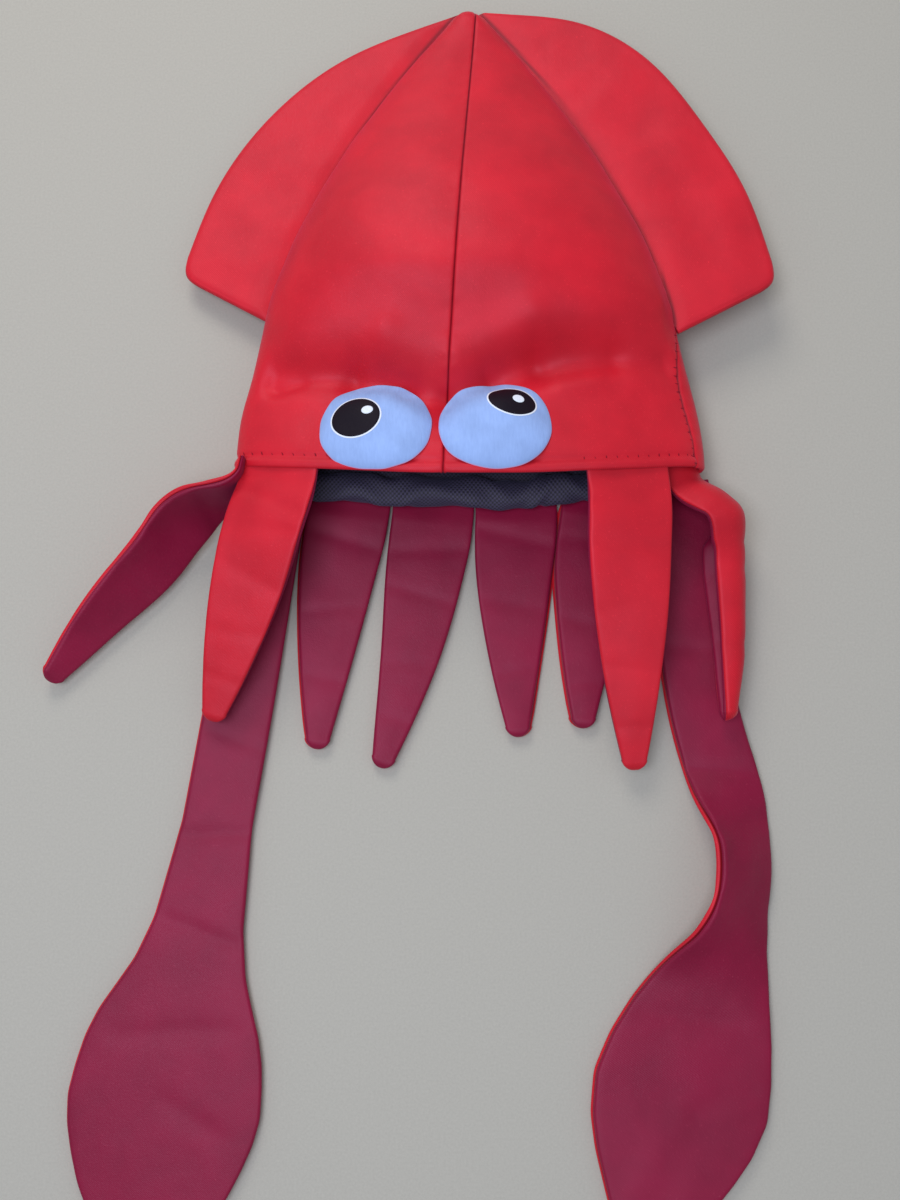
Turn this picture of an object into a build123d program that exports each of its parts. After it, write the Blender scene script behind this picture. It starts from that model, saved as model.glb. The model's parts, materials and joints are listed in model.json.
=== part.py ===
from build123d import *
import math
import os

# Squid costume hat, lying on its back, partly flattened. Millimetres.
# +Y runs from the head opening to the tip of the crown, +Z up from the table, +X to the right.
# The origin is on the flat resting face of the back panels, in the middle of the opening.

# ---- crown ----
crown_half_width = 140.0      # half the width of the flattened head opening
crown_length = 317.0          # hem to tip
crown_reach = crown_length + 8.0  # where the side curves would meet beyond the tip
hem_height = 66.0             # height of the opening over the table
crease_height = 54.0          # soft crease above the eyes
bulge_height = 82.0           # fullest height of the crown
tip_height = 24.0             # height at the tip
crease_place = 52.0           # distance of the crease from the hem
bulge_place = 122.0           # distance of the fullest point from the hem
side_seam_height = 28.0       # height of the side seams at the hem
side_seam_fall = 0.05         # how far the side seams come down per millimetre towards the tip
side_seam_roll = 0.05         # the crown lies rolled a little, so one seam is higher
corner_roundness = 0.24       # share of the half width that curves up from the table
hem_bow = 12.0                # how far the hem's corners stand back from its middle
hem_middle = -3.0             # where the middle of the hem stands
seam_shift_hem = -16.0        # the middle seam at the hem
seam_shift_tip = 5.0          # the middle seam at the tip
wall = 3.5                    # foam laminate of crown, arms and fins
lining_thickness = 1.0
band_thickness = 1.2
band_width = 16.0
table_sink = 0.8              # the crown's underside is pressed flat this much by its weight

# ---- clearances ----
hinge_gap = 0.5               # between a turning root and what it turns beside
fin_gap = 1.7                 # between a fin's root edge and the crown

# ---- arms ----
arm_half_thickness = 3.3      # one laminate of an arm
arm_half_tip = 7.0            # half width just before the rounded tip
arm_straight = 0.12           # share of an arm's length before it starts to taper
front_fullness = 1.8          # how full an arm's sides are; 1 is a straight taper
back_fullness = 1.5
side_fullness = 1.9
side_arm_half_root = 22.0     # half width of a side arm at the corner of the hem
front_left_length = 150.0
front_right_length = 172.0
side_left_length = 164.0
side_right_length = 148.0
back_lengths = (154.0, 164.0, 143.0, 142.0)
front_root_gap = 0.8          # more room where a front arm's root slopes with the hem
row_gaps = (0.6, 1.2, 0.8, 2.8, 0.6)  # between tentacle, four back arms and tentacle

# ---- tentacles ----
strap_half_width = 20.5
strap_half_thickness = 3.4
club_half_widths = {"left": 55.0, "right": 50.0}
club_tip_share = 0.3           # the club's rounded end, as a share of its half width
strap_left = -0.85             # where the straps are sewn on, as shares of the half width
strap_right = 0.907

# The four back arms share what the two straps leave of the back hem.
row_start = strap_left * crown_half_width + strap_half_width
row_end = strap_right * crown_half_width - strap_half_width
arm_half_root = (row_end - row_start - sum(row_gaps)) / 8

# ---- fins ----
fin_half_thickness = 3.4
fin_corner_radius = 11.0
fin_drawn_on = (140.0, 317.0)  # half width and length of the crown the outlines are drawn on

# ---- eyes ----
eye_radius = 32.5
eye_drawn_radius = 32.5       # radius of the eye that the pupils and glints are drawn on
eye_overhang = 7.5            # how far an eye stands over the hem
eyes_middle = -20.5           # halfway between the eyes
eyes_gap = 4.0
eye_rise = 12.5               # how far the stuffed dome stands over its rim
eye_lift = 2.0                # rim over the crown
eye_cover_thickness = 1.2
pupil_thickness = 0.8
glint_thickness = 0.5


os.makedirs("parts", exist_ok=True)


def export(shape, node):
    """Write one sub-part."""
    export_step(shape, f"parts/{node}.step")


# ------------------------------------------------------------------ crown

def half_width(y):
    """Half width of the flattened crown at a distance y from the hem."""
    return crown_half_width * (1 - (y / crown_reach) ** 2)


def seam_height(y):
    """Height of the side seams, without the roll."""
    return side_seam_height - side_seam_fall * y


def blend_value(y, stations):
    """Smooth value between (place, value) stations."""
    if y <= stations[0][0]:
        return stations[0][1]
    for (y0, v0), (y1, v1) in zip(stations, stations[1:]):
        if y <= y1:
            t = (y - y0) / (y1 - y0)
            return v0 + (v1 - v0) * (3 * t * t - 2 * t ** 3)
    return stations[-1][1]


def top_height(y):
    """Height of the front panels over the table."""
    stations = (
        (0.0, hem_height),
        (crease_place, crease_height),
        (bulge_place, bulge_height),
        (crown_length, tip_height),
    )
    return blend_value(y, stations)


def crown_section(y, inset, sink):
    """Closed outline of the crown at y, moved in by inset (or out, where it is negative)."""
    a = half_width(y) - inset
    zs = seam_height(y)
    top = top_height(y) - zs - inset
    low = zs - inset + sink
    corner = corner_roundness * half_width(y)
    plane = Plane(origin=(0, y, zs), x_dir=(1, 0, 0), z_dir=(0, -1, 0))
    right_top = plane * EllipticalCenterArc((0, 0), a, top, 0, arc_size=90)
    left_top = plane * EllipticalCenterArc((0, 0), a, top, 90, arc_size=90)
    left_low = plane * EllipticalCenterArc((-a + corner, 0), corner, low, 180, arc_size=90)
    base = plane * Line((-a + corner, -low), (a - corner, -low))
    right_low = plane * EllipticalCenterArc((a - corner, 0), corner, low, 270, arc_size=90)
    return make_face([right_top, left_top, left_low, base, right_low])


def crown_body(inset, end, sink=0.0):
    """The crown as one solid from past the hem to end, moved in by inset; sink lowers its base."""
    places = [-2 * hem_bow, 0, crease_place / 2, crease_place, (crease_place + bulge_place) / 2]
    places += [bulge_place + (end - bulge_place) * share for share in (0, 0.22, 0.45, 0.66, 0.83, 1)]
    return loft([crown_section(y, inset, sink) for y in places])


def hem_radius():
    """Radius of the hem's bow as seen from above."""
    return (crown_half_width ** 2 + hem_bow ** 2) / (2 * hem_bow)


def hem_y(x):
    """Where the hem stands at a place across the opening."""
    r = hem_radius()
    return hem_middle + r - math.sqrt(r * r - x * x)


def hem_lean(x):
    """Slope of the hem as seen from above."""
    return x / math.sqrt(hem_radius() ** 2 - x * x)


def hem_z(x):
    """Height of the front hem at a place across the opening."""
    share = min(abs(x) / crown_half_width, 0.999)
    return side_seam_height + (hem_height - side_seam_height) * math.sqrt(1 - share ** 2)


def hem_slope(x):
    """Slope of the front hem in degrees, seen from the opening."""
    share = min(abs(x) / crown_half_width, 0.95)
    rise = (hem_height - side_seam_height) / crown_half_width
    angle = math.degrees(math.atan(rise * share / math.sqrt(1 - share ** 2)))
    return angle if x < 0 else -angle


def hem_cutter(setback=0.0):
    """Everything behind the bowed hem, moved back by setback."""
    r = hem_radius()
    return Pos(0, hem_middle + r + setback, 0) * Cylinder(r, 400)


def half_space(origin, normal, size=900):
    """A block on the side of a plane that its normal points to."""
    plane = Plane(origin=origin, z_dir=normal)
    return plane * Pos(0, 0, size / 2) * Box(size, size, size)


seam_lean = (seam_shift_tip - seam_shift_hem) / crown_length
middle_origin = (seam_shift_hem, 0, 0)
middle_normal = (1, -seam_lean, 0)
side_origin = (0, 0, side_seam_height)
side_normal = (-side_seam_roll, side_seam_fall, 1)

right_side = half_space(middle_origin, middle_normal)
left_side = half_space(middle_origin, tuple(-n for n in middle_normal))
front_side = half_space(side_origin, side_normal)
back_side = half_space(side_origin, tuple(-n for n in side_normal))
above_table = half_space((0, 0, 0), (0, 0, 1), 1200)

crown_outer = crown_body(0, crown_length, table_sink) & above_table
crown_inner = crown_body(wall, crown_length - 4 * wall)
lining_inner = crown_body(wall + lining_thickness, crown_length - 5 * wall)
band_inner = crown_body(wall + lining_thickness + band_thickness, crown_length - 6 * wall)
hem_block = hem_cutter()

panels = (crown_outer - crown_inner) & hem_block
lining = (crown_inner - lining_inner) & hem_block
band = ((lining_inner - band_inner) & hem_block) - hem_cutter(band_width)

export(panels & left_side & front_side, "crown_front_left")
export(panels & right_side & front_side, "crown_front_right")
export(panels & left_side & back_side, "crown_back_left")
export(panels & right_side & back_side, "crown_back_right")
export(lining & front_side, "lining_front")
export(lining & back_side, "lining_back")
export(band & front_side, "hem_band_front")
export(band & back_side, "hem_band_back")


# ------------------------------------------------------------------ fins

# Outline of each fin from the tip, round the outer corner, to the lower end of its seam.
fin_outlines = {
    "left": ((-13, 317), (-76, 290), (-127, 248), (-163, 191), (-181, 137), (-119, 102)),
    "right": ((19, 318), (70, 310), (114, 282), (148, 234), (172, 187), (189, 126), (128, 99)),
}


def fin_solid(side):
    """A fin's full thickness, standing clear of the crown."""
    sign = -1 if side == "left" else 1
    stretch = crown_half_width / fin_drawn_on[0]
    along = crown_length / fin_drawn_on[1]
    points = [(x * stretch, y * along) for x, y in fin_outlines[side]]
    curve = Spline(*points[:-1])
    bottom = Line(points[-2], points[-1])
    inner = Polyline(points[-1], (sign * 30 * stretch, 120 * along), points[0])
    outline = make_face([curve, bottom, inner])
    corner = min(outline.vertices(), key=lambda v: (Vector(v) - Vector(*points[-2], 0)).length)
    outline = fillet(corner, fin_corner_radius)
    slab = extrude(Pos(0, 0, -200) * outline, 400)
    plane = Plane(origin=side_origin, z_dir=side_normal)
    layer = plane * Box(900, 900, 2 * fin_half_thickness)
    return (slab & layer) - crown_grown


crown_grown = crown_body(-fin_gap, crown_length) + Pos(0, crown_length, 12) * Box(
    30, 2 * fin_gap, 30
)
for side in ("left", "right"):
    fin = fin_solid(side)
    export(fin & front_side, f"fin_{side}_front_panel")
    export(fin & back_side, f"fin_{side}_back_panel")


# ------------------------------------------------------------------ eyes

def eye_plane(x, y, tilt):
    """The plane of an eye's rim on the crown; tilt is its lean to the side."""
    share = x / half_width(y)
    rise = (top_height(y) - seam_height(y)) * math.sqrt(1 - share ** 2)
    height = seam_height(y) + rise
    return Plane(origin=(x, y, height + eye_lift), x_dir=(1, 0, 0), z_dir=(tilt, 0.21, 1))


def eye_dome(plane, growth):
    """A cap of the eye's ball, grown outward by growth."""
    ball = (eye_radius ** 2 + eye_rise ** 2) / (2 * eye_rise)
    cap = Pos(0, 0, eye_rise - ball) * Sphere(ball + growth)
    post = Pos(0, 0, 5) * Cylinder(eye_radius + min(growth, 0), 40)
    return plane * (cap & post)


def spot(plane, place, radii, turn, growth, depth):
    """A thin oval patch lying on the dome."""
    place = [eye_scale * v for v in place]
    radii = [eye_scale * v for v in radii]
    oval = plane * (Pos(*place, 0) * Rot(0, 0, turn) * extrude(Ellipse(*radii), 40))
    return (eye_dome(plane, growth + depth) - eye_dome(plane, growth)) & oval


eye_pitch = eye_radius + eyes_gap / 2
eye_y = eye_radius - eye_overhang
eye_scale = eye_radius / eye_drawn_radius
eyes = {
    "left": dict(
        at=(eyes_middle - eye_pitch, eye_y),
        tilt=-0.1,
        pupil=(-10, 1.5),
        size=(13.5, 11.5),
        turn=8,
        glint=(-3.5, 5),
    ),
    "right": dict(
        at=(eyes_middle + eye_pitch, eye_y),
        tilt=0.02,
        pupil=(9.5, 13.5),
        size=(13, 8.5),
        turn=-14,
        glint=(13.5, 15),
    ),
}
for side, eye in eyes.items():
    plane = eye_plane(*eye["at"], eye["tilt"])
    whole = eye_dome(plane, 0) - crown_outer
    stuffing = eye_dome(plane, -eye_cover_thickness) - crown_outer
    pupil = spot(plane, eye["pupil"], eye["size"], eye["turn"], 0, pupil_thickness)
    glint = spot(plane, eye["glint"], (3.4, 2.8), 0, pupil_thickness, glint_thickness)
    export(whole - stuffing, f"eye_{side}_cover")
    export(stuffing, f"eye_{side}_stuffing")
    export(pupil, f"eye_{side}_pupil")
    export(glint, f"eye_{side}_glint")


# ------------------------------------------------------------------ ribbons

class Ribbon:
    """A flat tapered strip along a smooth path, rolled about the path as it goes."""

    def __init__(self, points, rolls, half_widths, half_thickness, tip_radius, dips=False):
        first = Vector(*points[1]) - Vector(*points[0])
        last = Vector(*points[-1]) - Vector(*points[-2])
        square = Vector(hem_lean(points[0][0]), -1, 0).normalized() * math.hypot(first.X, first.Y)
        leave = Vector(square.X, square.Y, first.Z if dips else 0).normalized()
        self.line = Spline(*points, tangents=(leave, last.normalized()))
        self.tip_radius = tip_radius
        self.length = self.line.length
        self.rolls = rolls
        self.half_widths = half_widths
        self.thickness = half_thickness

    def frame(self, s):
        """Place, direction, width direction and upward normal at a length s."""
        place = self.line.position_at(s, position_mode=PositionMode.LENGTH)
        ahead = self.line.tangent_at(s, position_mode=PositionMode.LENGTH)
        level = Vector(0, 0, 1).cross(ahead).normalized()
        normal = ahead.cross(level).normalized()
        roll = math.radians(blend_value(s / self.length, self.rolls))
        across = level * math.cos(roll) + normal * math.sin(roll)
        return place, ahead, across

    def section(self, s, side):
        """One laminate's cross-section: side is 1 for the upper and -1 for the lower."""
        place, ahead, across = self.frame(s)
        w = self.half_widths(s)
        t = self.thickness
        r = min(t, 0.7 * w)
        plane = Plane(origin=place, x_dir=across, z_dir=ahead)
        flat = plane * Line((-w, 0), (w, 0))
        top = plane * Line((w - r, side * t), (-w + r, side * t))
        if side > 0:
            right = plane * EllipticalCenterArc((w - r, 0), r, t, 0, arc_size=90)
            left = plane * EllipticalCenterArc((-w + r, 0), r, t, 90, arc_size=90)
        else:
            right = plane * EllipticalCenterArc((w - r, 0), r, t, 270, arc_size=90)
            left = plane * EllipticalCenterArc((-w + r, 0), r, t, 180, arc_size=90)
        return make_face([flat, right, top, left])

    def nose(self, s, side):
        """The rounded root of one laminate, turning about the seam at a length s."""
        place, ahead, across = self.frame(s)
        t = self.thickness
        w = self.half_widths(s) - t
        up = ahead.cross(across)
        plane = Plane(origin=place - across * w, x_dir=up * side, z_dir=across)
        sweep = plane.to_local_coords(place - across * w - ahead).normalized()
        quarter = make_face([
            Line((0, 0), (t, 0)),
            CenterArc((0, 0), t, 0, 90 if sweep.Y > 0 else -90),
            Line((0, math.copysign(t, sweep.Y)), (0, 0)),
        ])
        return extrude(plane * quarter, amount=2 * w, dir=across)

    def laminate(self, start, end, side, steps, nose=True, tip=True):
        """One layer between two lengths, with a rounded root and a rounded tip."""
        stops = [start + (end - start) * i / steps for i in range(steps + 1)]
        if tip:
            r = self.tip_radius
            stops = [s for s in stops if s < end - 2.2 * r]
            stops += [end - reach * r for reach in (1.5, 1.0, 0.6, 0.3, 0.1, 0.0)]
        solid = loft([self.section(s, side) for s in stops], ruled=True)
        if nose:
            solid = solid + self.nose(start, side)
        return solid


def arm_width(root, tip, length, fullness):
    """Half width of an arm: straight at first, then tapering to a rounded tip."""
    def width(s):
        t = max(0.0, (s / length - arm_straight) / (1 - arm_straight))
        w = tip + (root - tip) * (1 - t ** fullness)
        left = max(length - s, 0.0)
        if left < tip:
            w = w * math.sqrt(max(0.0, 1 - (1 - left / tip) ** 2)) + 0.6
        return w
    return width


def make_pair(name, ribbon, start, end, upper, lower, steps, tip=True):
    """Write the two laminates of a piece that turns about its root."""
    export(ribbon.laminate(start, end, 1, steps, True, tip), f"{name}_{upper}")
    export(ribbon.laminate(start, end, -1, steps, True, tip), f"{name}_{lower}")


def report(name, ribbon, s):
    """Print a hinge line, for the record."""
    place, ahead, across = ribbon.frame(s)
    print("hinge", name, [round(v, 3) for v in place], [round(v, 5) for v in across])


root_back = max(arm_half_thickness, strap_half_thickness) + hinge_gap


def root_point(x, z, more=0.0):
    """Where an arm's hinge line stands in front of the hem."""
    return (x, hem_y(x) - root_back - more, z)


def heading_path(root, heading, length, bow, heights):
    """Points from the root at a heading from -Y, bowed sideways, at the given heights."""
    run = math.radians(heading)
    points = []
    for i, z in enumerate(heights):
        t = i / (len(heights) - 1)
        along = t * length
        side = bow * math.sin(math.pi * t)
        x = root[0] + along * math.sin(run) + side * math.cos(run)
        y = root[1] - along * math.cos(run) + side * math.sin(run)
        points.append((x, y, z))
    return points


# Front arms hang over the opening from the upper hem, their outer layer up.
fronts = {
    "arm_front_left": dict(x=-0.8, heading=-15.5, length=front_left_length, tip=16.5, bow=0),
    "arm_front_right": dict(x=0.65, heading=1.7, length=front_right_length, tip=12.5, bow=-1),
}
for name, arm in fronts.items():
    x = arm["x"] * crown_half_width
    root = root_point(x, hem_z(x) - 0.5 * wall, front_root_gap)
    run = math.sqrt(arm["length"] ** 2 - (root[2] - arm["tip"]) ** 2)
    heights = [arm["tip"] + (root[2] - arm["tip"]) * (1 - (i / 5) ** 1.35) for i in range(6)]
    slope = hem_slope(x)
    ribbon = Ribbon(
        heading_path(root, arm["heading"], run, arm["bow"], heights),
        ((0, slope), (0.65, 0.2 * slope), (1, 0.0)),
        arm_width(arm_half_root, arm_half_tip, arm["length"], front_fullness),
        arm_half_thickness,
        arm_half_tip,
        dips=True,
    )
    make_pair(name, ribbon, 0, ribbon.length, "outer", "inner", 9)
    report(name, ribbon, 0)

# Back arms lie flat on the table, their inner layer up.
backs = (
    dict(heading=-6.6, bow=-2),
    dict(heading=-10.8, bow=4),
    dict(heading=0.0, bow=-2),
    dict(heading=-5.6, bow=-2),
)
for i, (arm, length) in enumerate(zip(backs, back_lengths)):
    x = row_start + sum(row_gaps[: i + 1]) + (2 * i + 1) * arm_half_root
    root = root_point(x, arm_half_thickness)
    ribbon = Ribbon(
        heading_path(root, arm["heading"], length, arm["bow"], [arm_half_thickness] * 5),
        ((0, 0), (1, 0)),
        arm_width(arm_half_root, arm_half_tip, length, back_fullness),
        arm_half_thickness,
        arm_half_tip,
    )
    make_pair(f"arm_back_{i + 1}", ribbon, 0, ribbon.length, "inner", "outer", 8)
    report(f"arm_back_{i + 1}", ribbon, 0)

# Side arms leave the corners of the hem standing on edge.
side_root_z = 2 * strap_half_thickness + hinge_gap + side_arm_half_root


def edge_height(low, roll, w, t):
    """Height of a strip's middle when its lower edge is at low."""
    angle = math.radians(roll)
    return low + w * abs(math.sin(angle)) + t * abs(math.cos(angle))


def side_points(root, offsets, rolls, lows, width, length):
    """Path of a side arm from (across, along) offsets, with its lower edge at given heights."""
    points = []
    for dx, dy in offsets:
        share = min(math.hypot(dx, dy) / length, 1.0)
        roll = blend_value(share, rolls)
        low = blend_value(share, lows)
        w = width(min(share * length, length - arm_half_tip))
        points.append((root[0] + dx, root[1] + dy, edge_height(low, roll, w, arm_half_thickness)))
    return points


sides = {
    "arm_side_left": dict(
        x=-1.012,
        offsets=((0, 0), (-24, -21), (-48, -49), (-76, -80), (-114, -126)),
        rolls=((0, -90), (0.3, -52), (0.6, -42), (1, -34)),
        lows=((0, side_root_z - side_arm_half_root), (0.35, 0.6), (1, 0.6)),
        length=side_left_length,
        reach=170.0,
    ),
    "arm_side_right": dict(
        x=1.012,
        offsets=((0, 0), (9, -18), (13, -48), (14, -90), (12.5, -144)),
        rolls=((0, 90), (0.3, 114), (0.7, 116), (1, 108)),
        lows=((0, side_root_z - side_arm_half_root), (1, 2 * strap_half_thickness + 6.0)),
        length=side_right_length,
        reach=146.0,
    ),
}
for name, arm in sides.items():
    x = arm["x"] * crown_half_width
    root = root_point(x, side_root_z)
    stretch = arm["length"] / arm["reach"]
    offsets = [(dx * stretch, dy * stretch) for dx, dy in arm["offsets"]]
    width = arm_width(side_arm_half_root, arm_half_tip, arm["length"], side_fullness)
    points = side_points(root, offsets, arm["rolls"], arm["lows"], width, arm["length"])
    ribbon = Ribbon(points, arm["rolls"], width, arm_half_thickness, arm_half_tip)
    ribbon.half_widths = arm_width(
        side_arm_half_root, arm_half_tip, ribbon.length, side_fullness
    )
    make_pair(name, ribbon, 0, ribbon.length, "inner", "outer", 10)
    report(name, ribbon, 0)


# ------------------------------------------------------------------ tentacles

# Half widths of the clubs from the neck to the tip, as shares of the fullest.
club_shapes = {
    "left": (
        (0.0, 0.473), (0.125, 0.59), (0.2, 0.71), (0.28, 0.845), (0.355, 0.93), (0.43, 0.973),
        (0.51, 1.0), (0.585, 0.96), (0.66, 0.875), (0.74, 0.76), (0.9, 0.42),
    ),
    "right": (
        (0.0, 0.41), (0.14, 0.48), (0.25, 0.64), (0.36, 0.82), (0.46, 0.94), (0.56, 1.0),
        (0.66, 0.92), (0.74, 0.78), (0.9, 0.42),
    ),
}


def club_width(side, middle, neck, length):
    """Half width of a tentacle: a strap, then a leaf-shaped club with angular shoulders."""
    fullest = club_half_widths[side]
    cap = club_tip_share * fullest
    shape = [(middle, strap_half_width)]
    shape += [(neck + (length - neck) * u, f * fullest) for u, f in club_shapes[side]]
    shape += [(length, cap)]

    def width(s):
        w = strap_half_width
        for (u0, w0), (u1, w1) in zip(shape, shape[1:]):
            if u0 < s <= u1:
                w = w0 + (w1 - w0) * (s - u0) / (u1 - u0)
        left = max(length - s, 0.0)
        if left < cap:
            w = w * math.sqrt(max(0.0, 1 - (1 - left / cap) ** 2)) + 0.6
        return w
    return width


tentacles = {
    "left": dict(
        x=strap_left * crown_half_width,
        drawn_x=-119.0,
        points=((-128, -62), (-137, -127), (-146, -186), (-155, -244), (-161, -280),
                (-169, -325), (-177, -385), (-185, -455)),
        rolls=((0, 0), (1, 0)),
        middle=205.0,
        neck=262.0,
    ),
    "right": dict(
        x=strap_right * crown_half_width,
        drawn_x=127.0,
        points=((133, -66), (140, -135), (150, -175), (157.5, -212), (155, -245),
                (140, -292), (120, -350), (95, -445)),
        rolls=((0, 0), (0.36, 0), (0.48, -37), (0.54, -37), (0.68, 0), (1, 0)),
        middle=158.0,
        neck=246.0,
    ),
}
for side, arm in tentacles.items():
    x = arm["x"]
    t = strap_half_thickness
    root = root_point(x, t)
    flat = [(root[0], root[1])] + [(px + x - arm["drawn_x"], py) for px, py in arm["points"]]
    runs = [0.0]
    for (x0, y0), (x1, y1) in zip(flat, flat[1:]):
        runs.append(runs[-1] + math.hypot(x1 - x0, y1 - y0))
    width = club_width(side, arm["middle"], arm["neck"], runs[-1])
    points = []
    for (px, py), run in zip(flat, runs):
        roll = blend_value(run / runs[-1], arm["rolls"])
        points.append((px, py, edge_height(0, roll, width(run), 0) + t * abs(
            math.cos(math.radians(roll)))))
    ribbon = Ribbon(points, arm["rolls"], width, t, club_tip_share * club_half_widths[side])
    ribbon.half_widths = club_width(side, arm["middle"], arm["neck"], ribbon.length)
    joint = t + hinge_gap
    name = f"tentacle_{side}"
    make_pair(f"{name}_upper", ribbon, 0, arm["middle"], "inner", "outer", 5, False)
    make_pair(f"{name}_lower", ribbon, arm["middle"] + joint, arm["neck"],
              "inner", "outer", 4, False)
    make_pair(f"{name}_club", ribbon, arm["neck"] + joint, ribbon.length,
              "inner", "outer", 12)
    report(f"{name}_upper", ribbon, 0)
    report(f"{name}_lower", ribbon, arm["middle"] + joint)
    report(f"{name}_club", ribbon, arm["neck"] + joint)
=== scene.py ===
import json
import math

import bmesh
import bpy
import numpy as np
from bpy.props import FloatProperty, FloatVectorProperty, IntProperty, PointerProperty
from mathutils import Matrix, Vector


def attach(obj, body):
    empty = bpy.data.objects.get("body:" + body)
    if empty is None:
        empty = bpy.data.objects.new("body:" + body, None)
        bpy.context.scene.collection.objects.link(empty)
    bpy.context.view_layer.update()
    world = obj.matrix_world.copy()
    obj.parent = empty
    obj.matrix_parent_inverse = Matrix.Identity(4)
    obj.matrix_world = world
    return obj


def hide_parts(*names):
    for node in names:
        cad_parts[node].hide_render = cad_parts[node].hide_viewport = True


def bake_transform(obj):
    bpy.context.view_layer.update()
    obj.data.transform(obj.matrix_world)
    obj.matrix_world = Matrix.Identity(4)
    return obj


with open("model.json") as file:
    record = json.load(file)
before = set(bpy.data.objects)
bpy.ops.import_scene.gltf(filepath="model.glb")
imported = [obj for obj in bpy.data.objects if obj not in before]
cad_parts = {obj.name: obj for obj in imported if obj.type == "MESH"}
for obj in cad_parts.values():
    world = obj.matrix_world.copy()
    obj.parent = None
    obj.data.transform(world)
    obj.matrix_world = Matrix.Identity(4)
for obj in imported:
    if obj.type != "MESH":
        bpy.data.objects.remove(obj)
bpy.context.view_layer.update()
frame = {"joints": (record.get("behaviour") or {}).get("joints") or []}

bl_info = {
    "name": "Squid Costume Hat",
    "version": (1, 0, 0),
    "blender": (4, 5, 0),
    "location": "3D View > Sidebar > Squid Hat",
    "description": "Makes a foam cloth squid hat lying on its back, with its arms, tentacles and eyes",
    "category": "Object",
}

JOINTS = {joint["name"]: joint for joint in frame["joints"]}
MM = 0.001
UP = np.array((0.0, 0.0, 1.0))
SHARP = math.radians(48.0)


# ------------------------------------------------------------------ sizes and colours

def length(name, description, millimetres):
    """A length that a user can change."""
    return FloatProperty(
        name=name,
        description=description,
        default=millimetres * MM,
        unit="LENGTH",
        subtype="DISTANCE",
    )


def share(name, description, default):
    """A part of a whole, from 0 to 1."""
    return FloatProperty(
        name=name, description=description, default=default, min=0.0, max=1.0, subtype="FACTOR"
    )


def colour(name, description, default):
    """A cloth or thread colour."""
    return FloatVectorProperty(
        name=name, description=description, default=default, size=3, min=0, max=1, subtype="COLOR"
    )


class SquidCrownSizes(bpy.types.PropertyGroup):
    half_width: length("Half Width", "Half the width of the flattened opening", 140.0)
    reach: length("Reach", "Where the side curves would meet beyond the tip", 325.0)
    length: length("Length", "From the hem to the tip", 317.0)
    hem_height: length("Hem Height", "Height of the opening over the table", 66.0)
    crease_height: length("Crease Height", "Height of the soft crease above the eyes", 54.0)
    bulge_height: length("Bulge Height", "Height of the fullest part", 82.0)
    tip_height: length("Tip Height", "Height at the tip", 24.0)
    crease_place: length("Crease Place", "From the hem to the crease", 52.0)
    bulge_place: length("Bulge Place", "From the hem to the fullest part", 122.0)
    seam_height: length("Side Seam Height", "Height of the side seams at the hem", 28.0)
    wall: length("Wall", "Thickness of the foam cloth", 3.5)
    hem_bow: length("Hem Bow", "How far the hem's corners stand back", 12.0)
    hem_middle: length("Hem Middle", "Where the middle of the hem stands", -3.0)
    waist: length("Waist", "How far the sides draw in above the eyes", 2.6)
    waist_place: length("Waist Place", "From the hem to the narrowest of the waist", 76.0)
    waist_long: length("Waist Length", "How far along the crown the waist reaches", 34.0)
    groove: length("Seam Groove", "Depth of the seams between the panels", 1.2)
    seam_fall: share("Side Seam Fall", "How far the side seams come down towards the tip", 0.05)
    seam_roll: share("Side Seam Roll", "How far the crown lies rolled to one side", 0.05)
    corner: share("Corner", "Share of the half width that curves up from the table", 0.24)


class SquidArmSizes(bpy.types.PropertyGroup):
    half_thickness: length("Half Thickness", "One layer of an arm", 3.3)
    half_root: length("Half Root Width", "Half the width of a middle arm at the hem", 24.95)
    half_tip: length("Half Tip Width", "Half the width before the rounded tip", 5.8)
    left_half_root: length("Left Side Arm", "Half the width of the left side arm at the hem", 22.0)
    right_half_root: length("Right Side Arm", "Half the width of the right side arm at the hem", 24.0)


class SquidTentacleSizes(bpy.types.PropertyGroup):
    half_thickness: length("Half Thickness", "One layer of a tentacle", 3.4)
    strap_half_width: length("Strap Half Width", "Half the width of the strap", 20.5)
    club_left: length("Left Club", "Half the width of the left club", 55.0)
    club_right: length("Right Club", "Half the width of the right club", 50.0)
    tip_share: share("Club Tip", "Rounded end of the club, as a share of its half width", 0.3)


class SquidFinSizes(bpy.types.PropertyGroup):
    half_thickness: length("Half Thickness", "One layer of a fin", 3.4)
    edge: length("Edge Roll", "How far in from its edge a fin rounds over", 5.0)


class SquidEyeSizes(bpy.types.PropertyGroup):
    radius: length("Radius", "Radius of an eye's felt", 32.5)
    rise: length("Rise", "Height of the stuffed dome", 7.5)
    oval: share("Oval", "Height of an eye as a share of its width", 0.88)
    felt: length("Felt", "Thickness of the felt", 1.3)
    wobble: share("Wobble", "How uneven the hand-cut edge is", 0.018)


class SquidStitchSizes(bpy.types.PropertyGroup):
    hem_spacing: length("Hem Spacing", "From one stitch of the hem to the next", 6.5)
    hem_stitch: length("Hem Stitch", "Length of one stitch of the hem", 3.4)
    seam_spacing: length("Seam Spacing", "From one stitch of the side seam to the next", 5.0)
    seam_stitch: length("Seam Stitch", "Length of one stitch of the side seam", 3.0)
    thickness: length("Thread Thickness", "Thickness of the thread", 0.55)
    seed: IntProperty(name="Seed", description="Seed of the stitches' unevenness", default=7)


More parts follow.
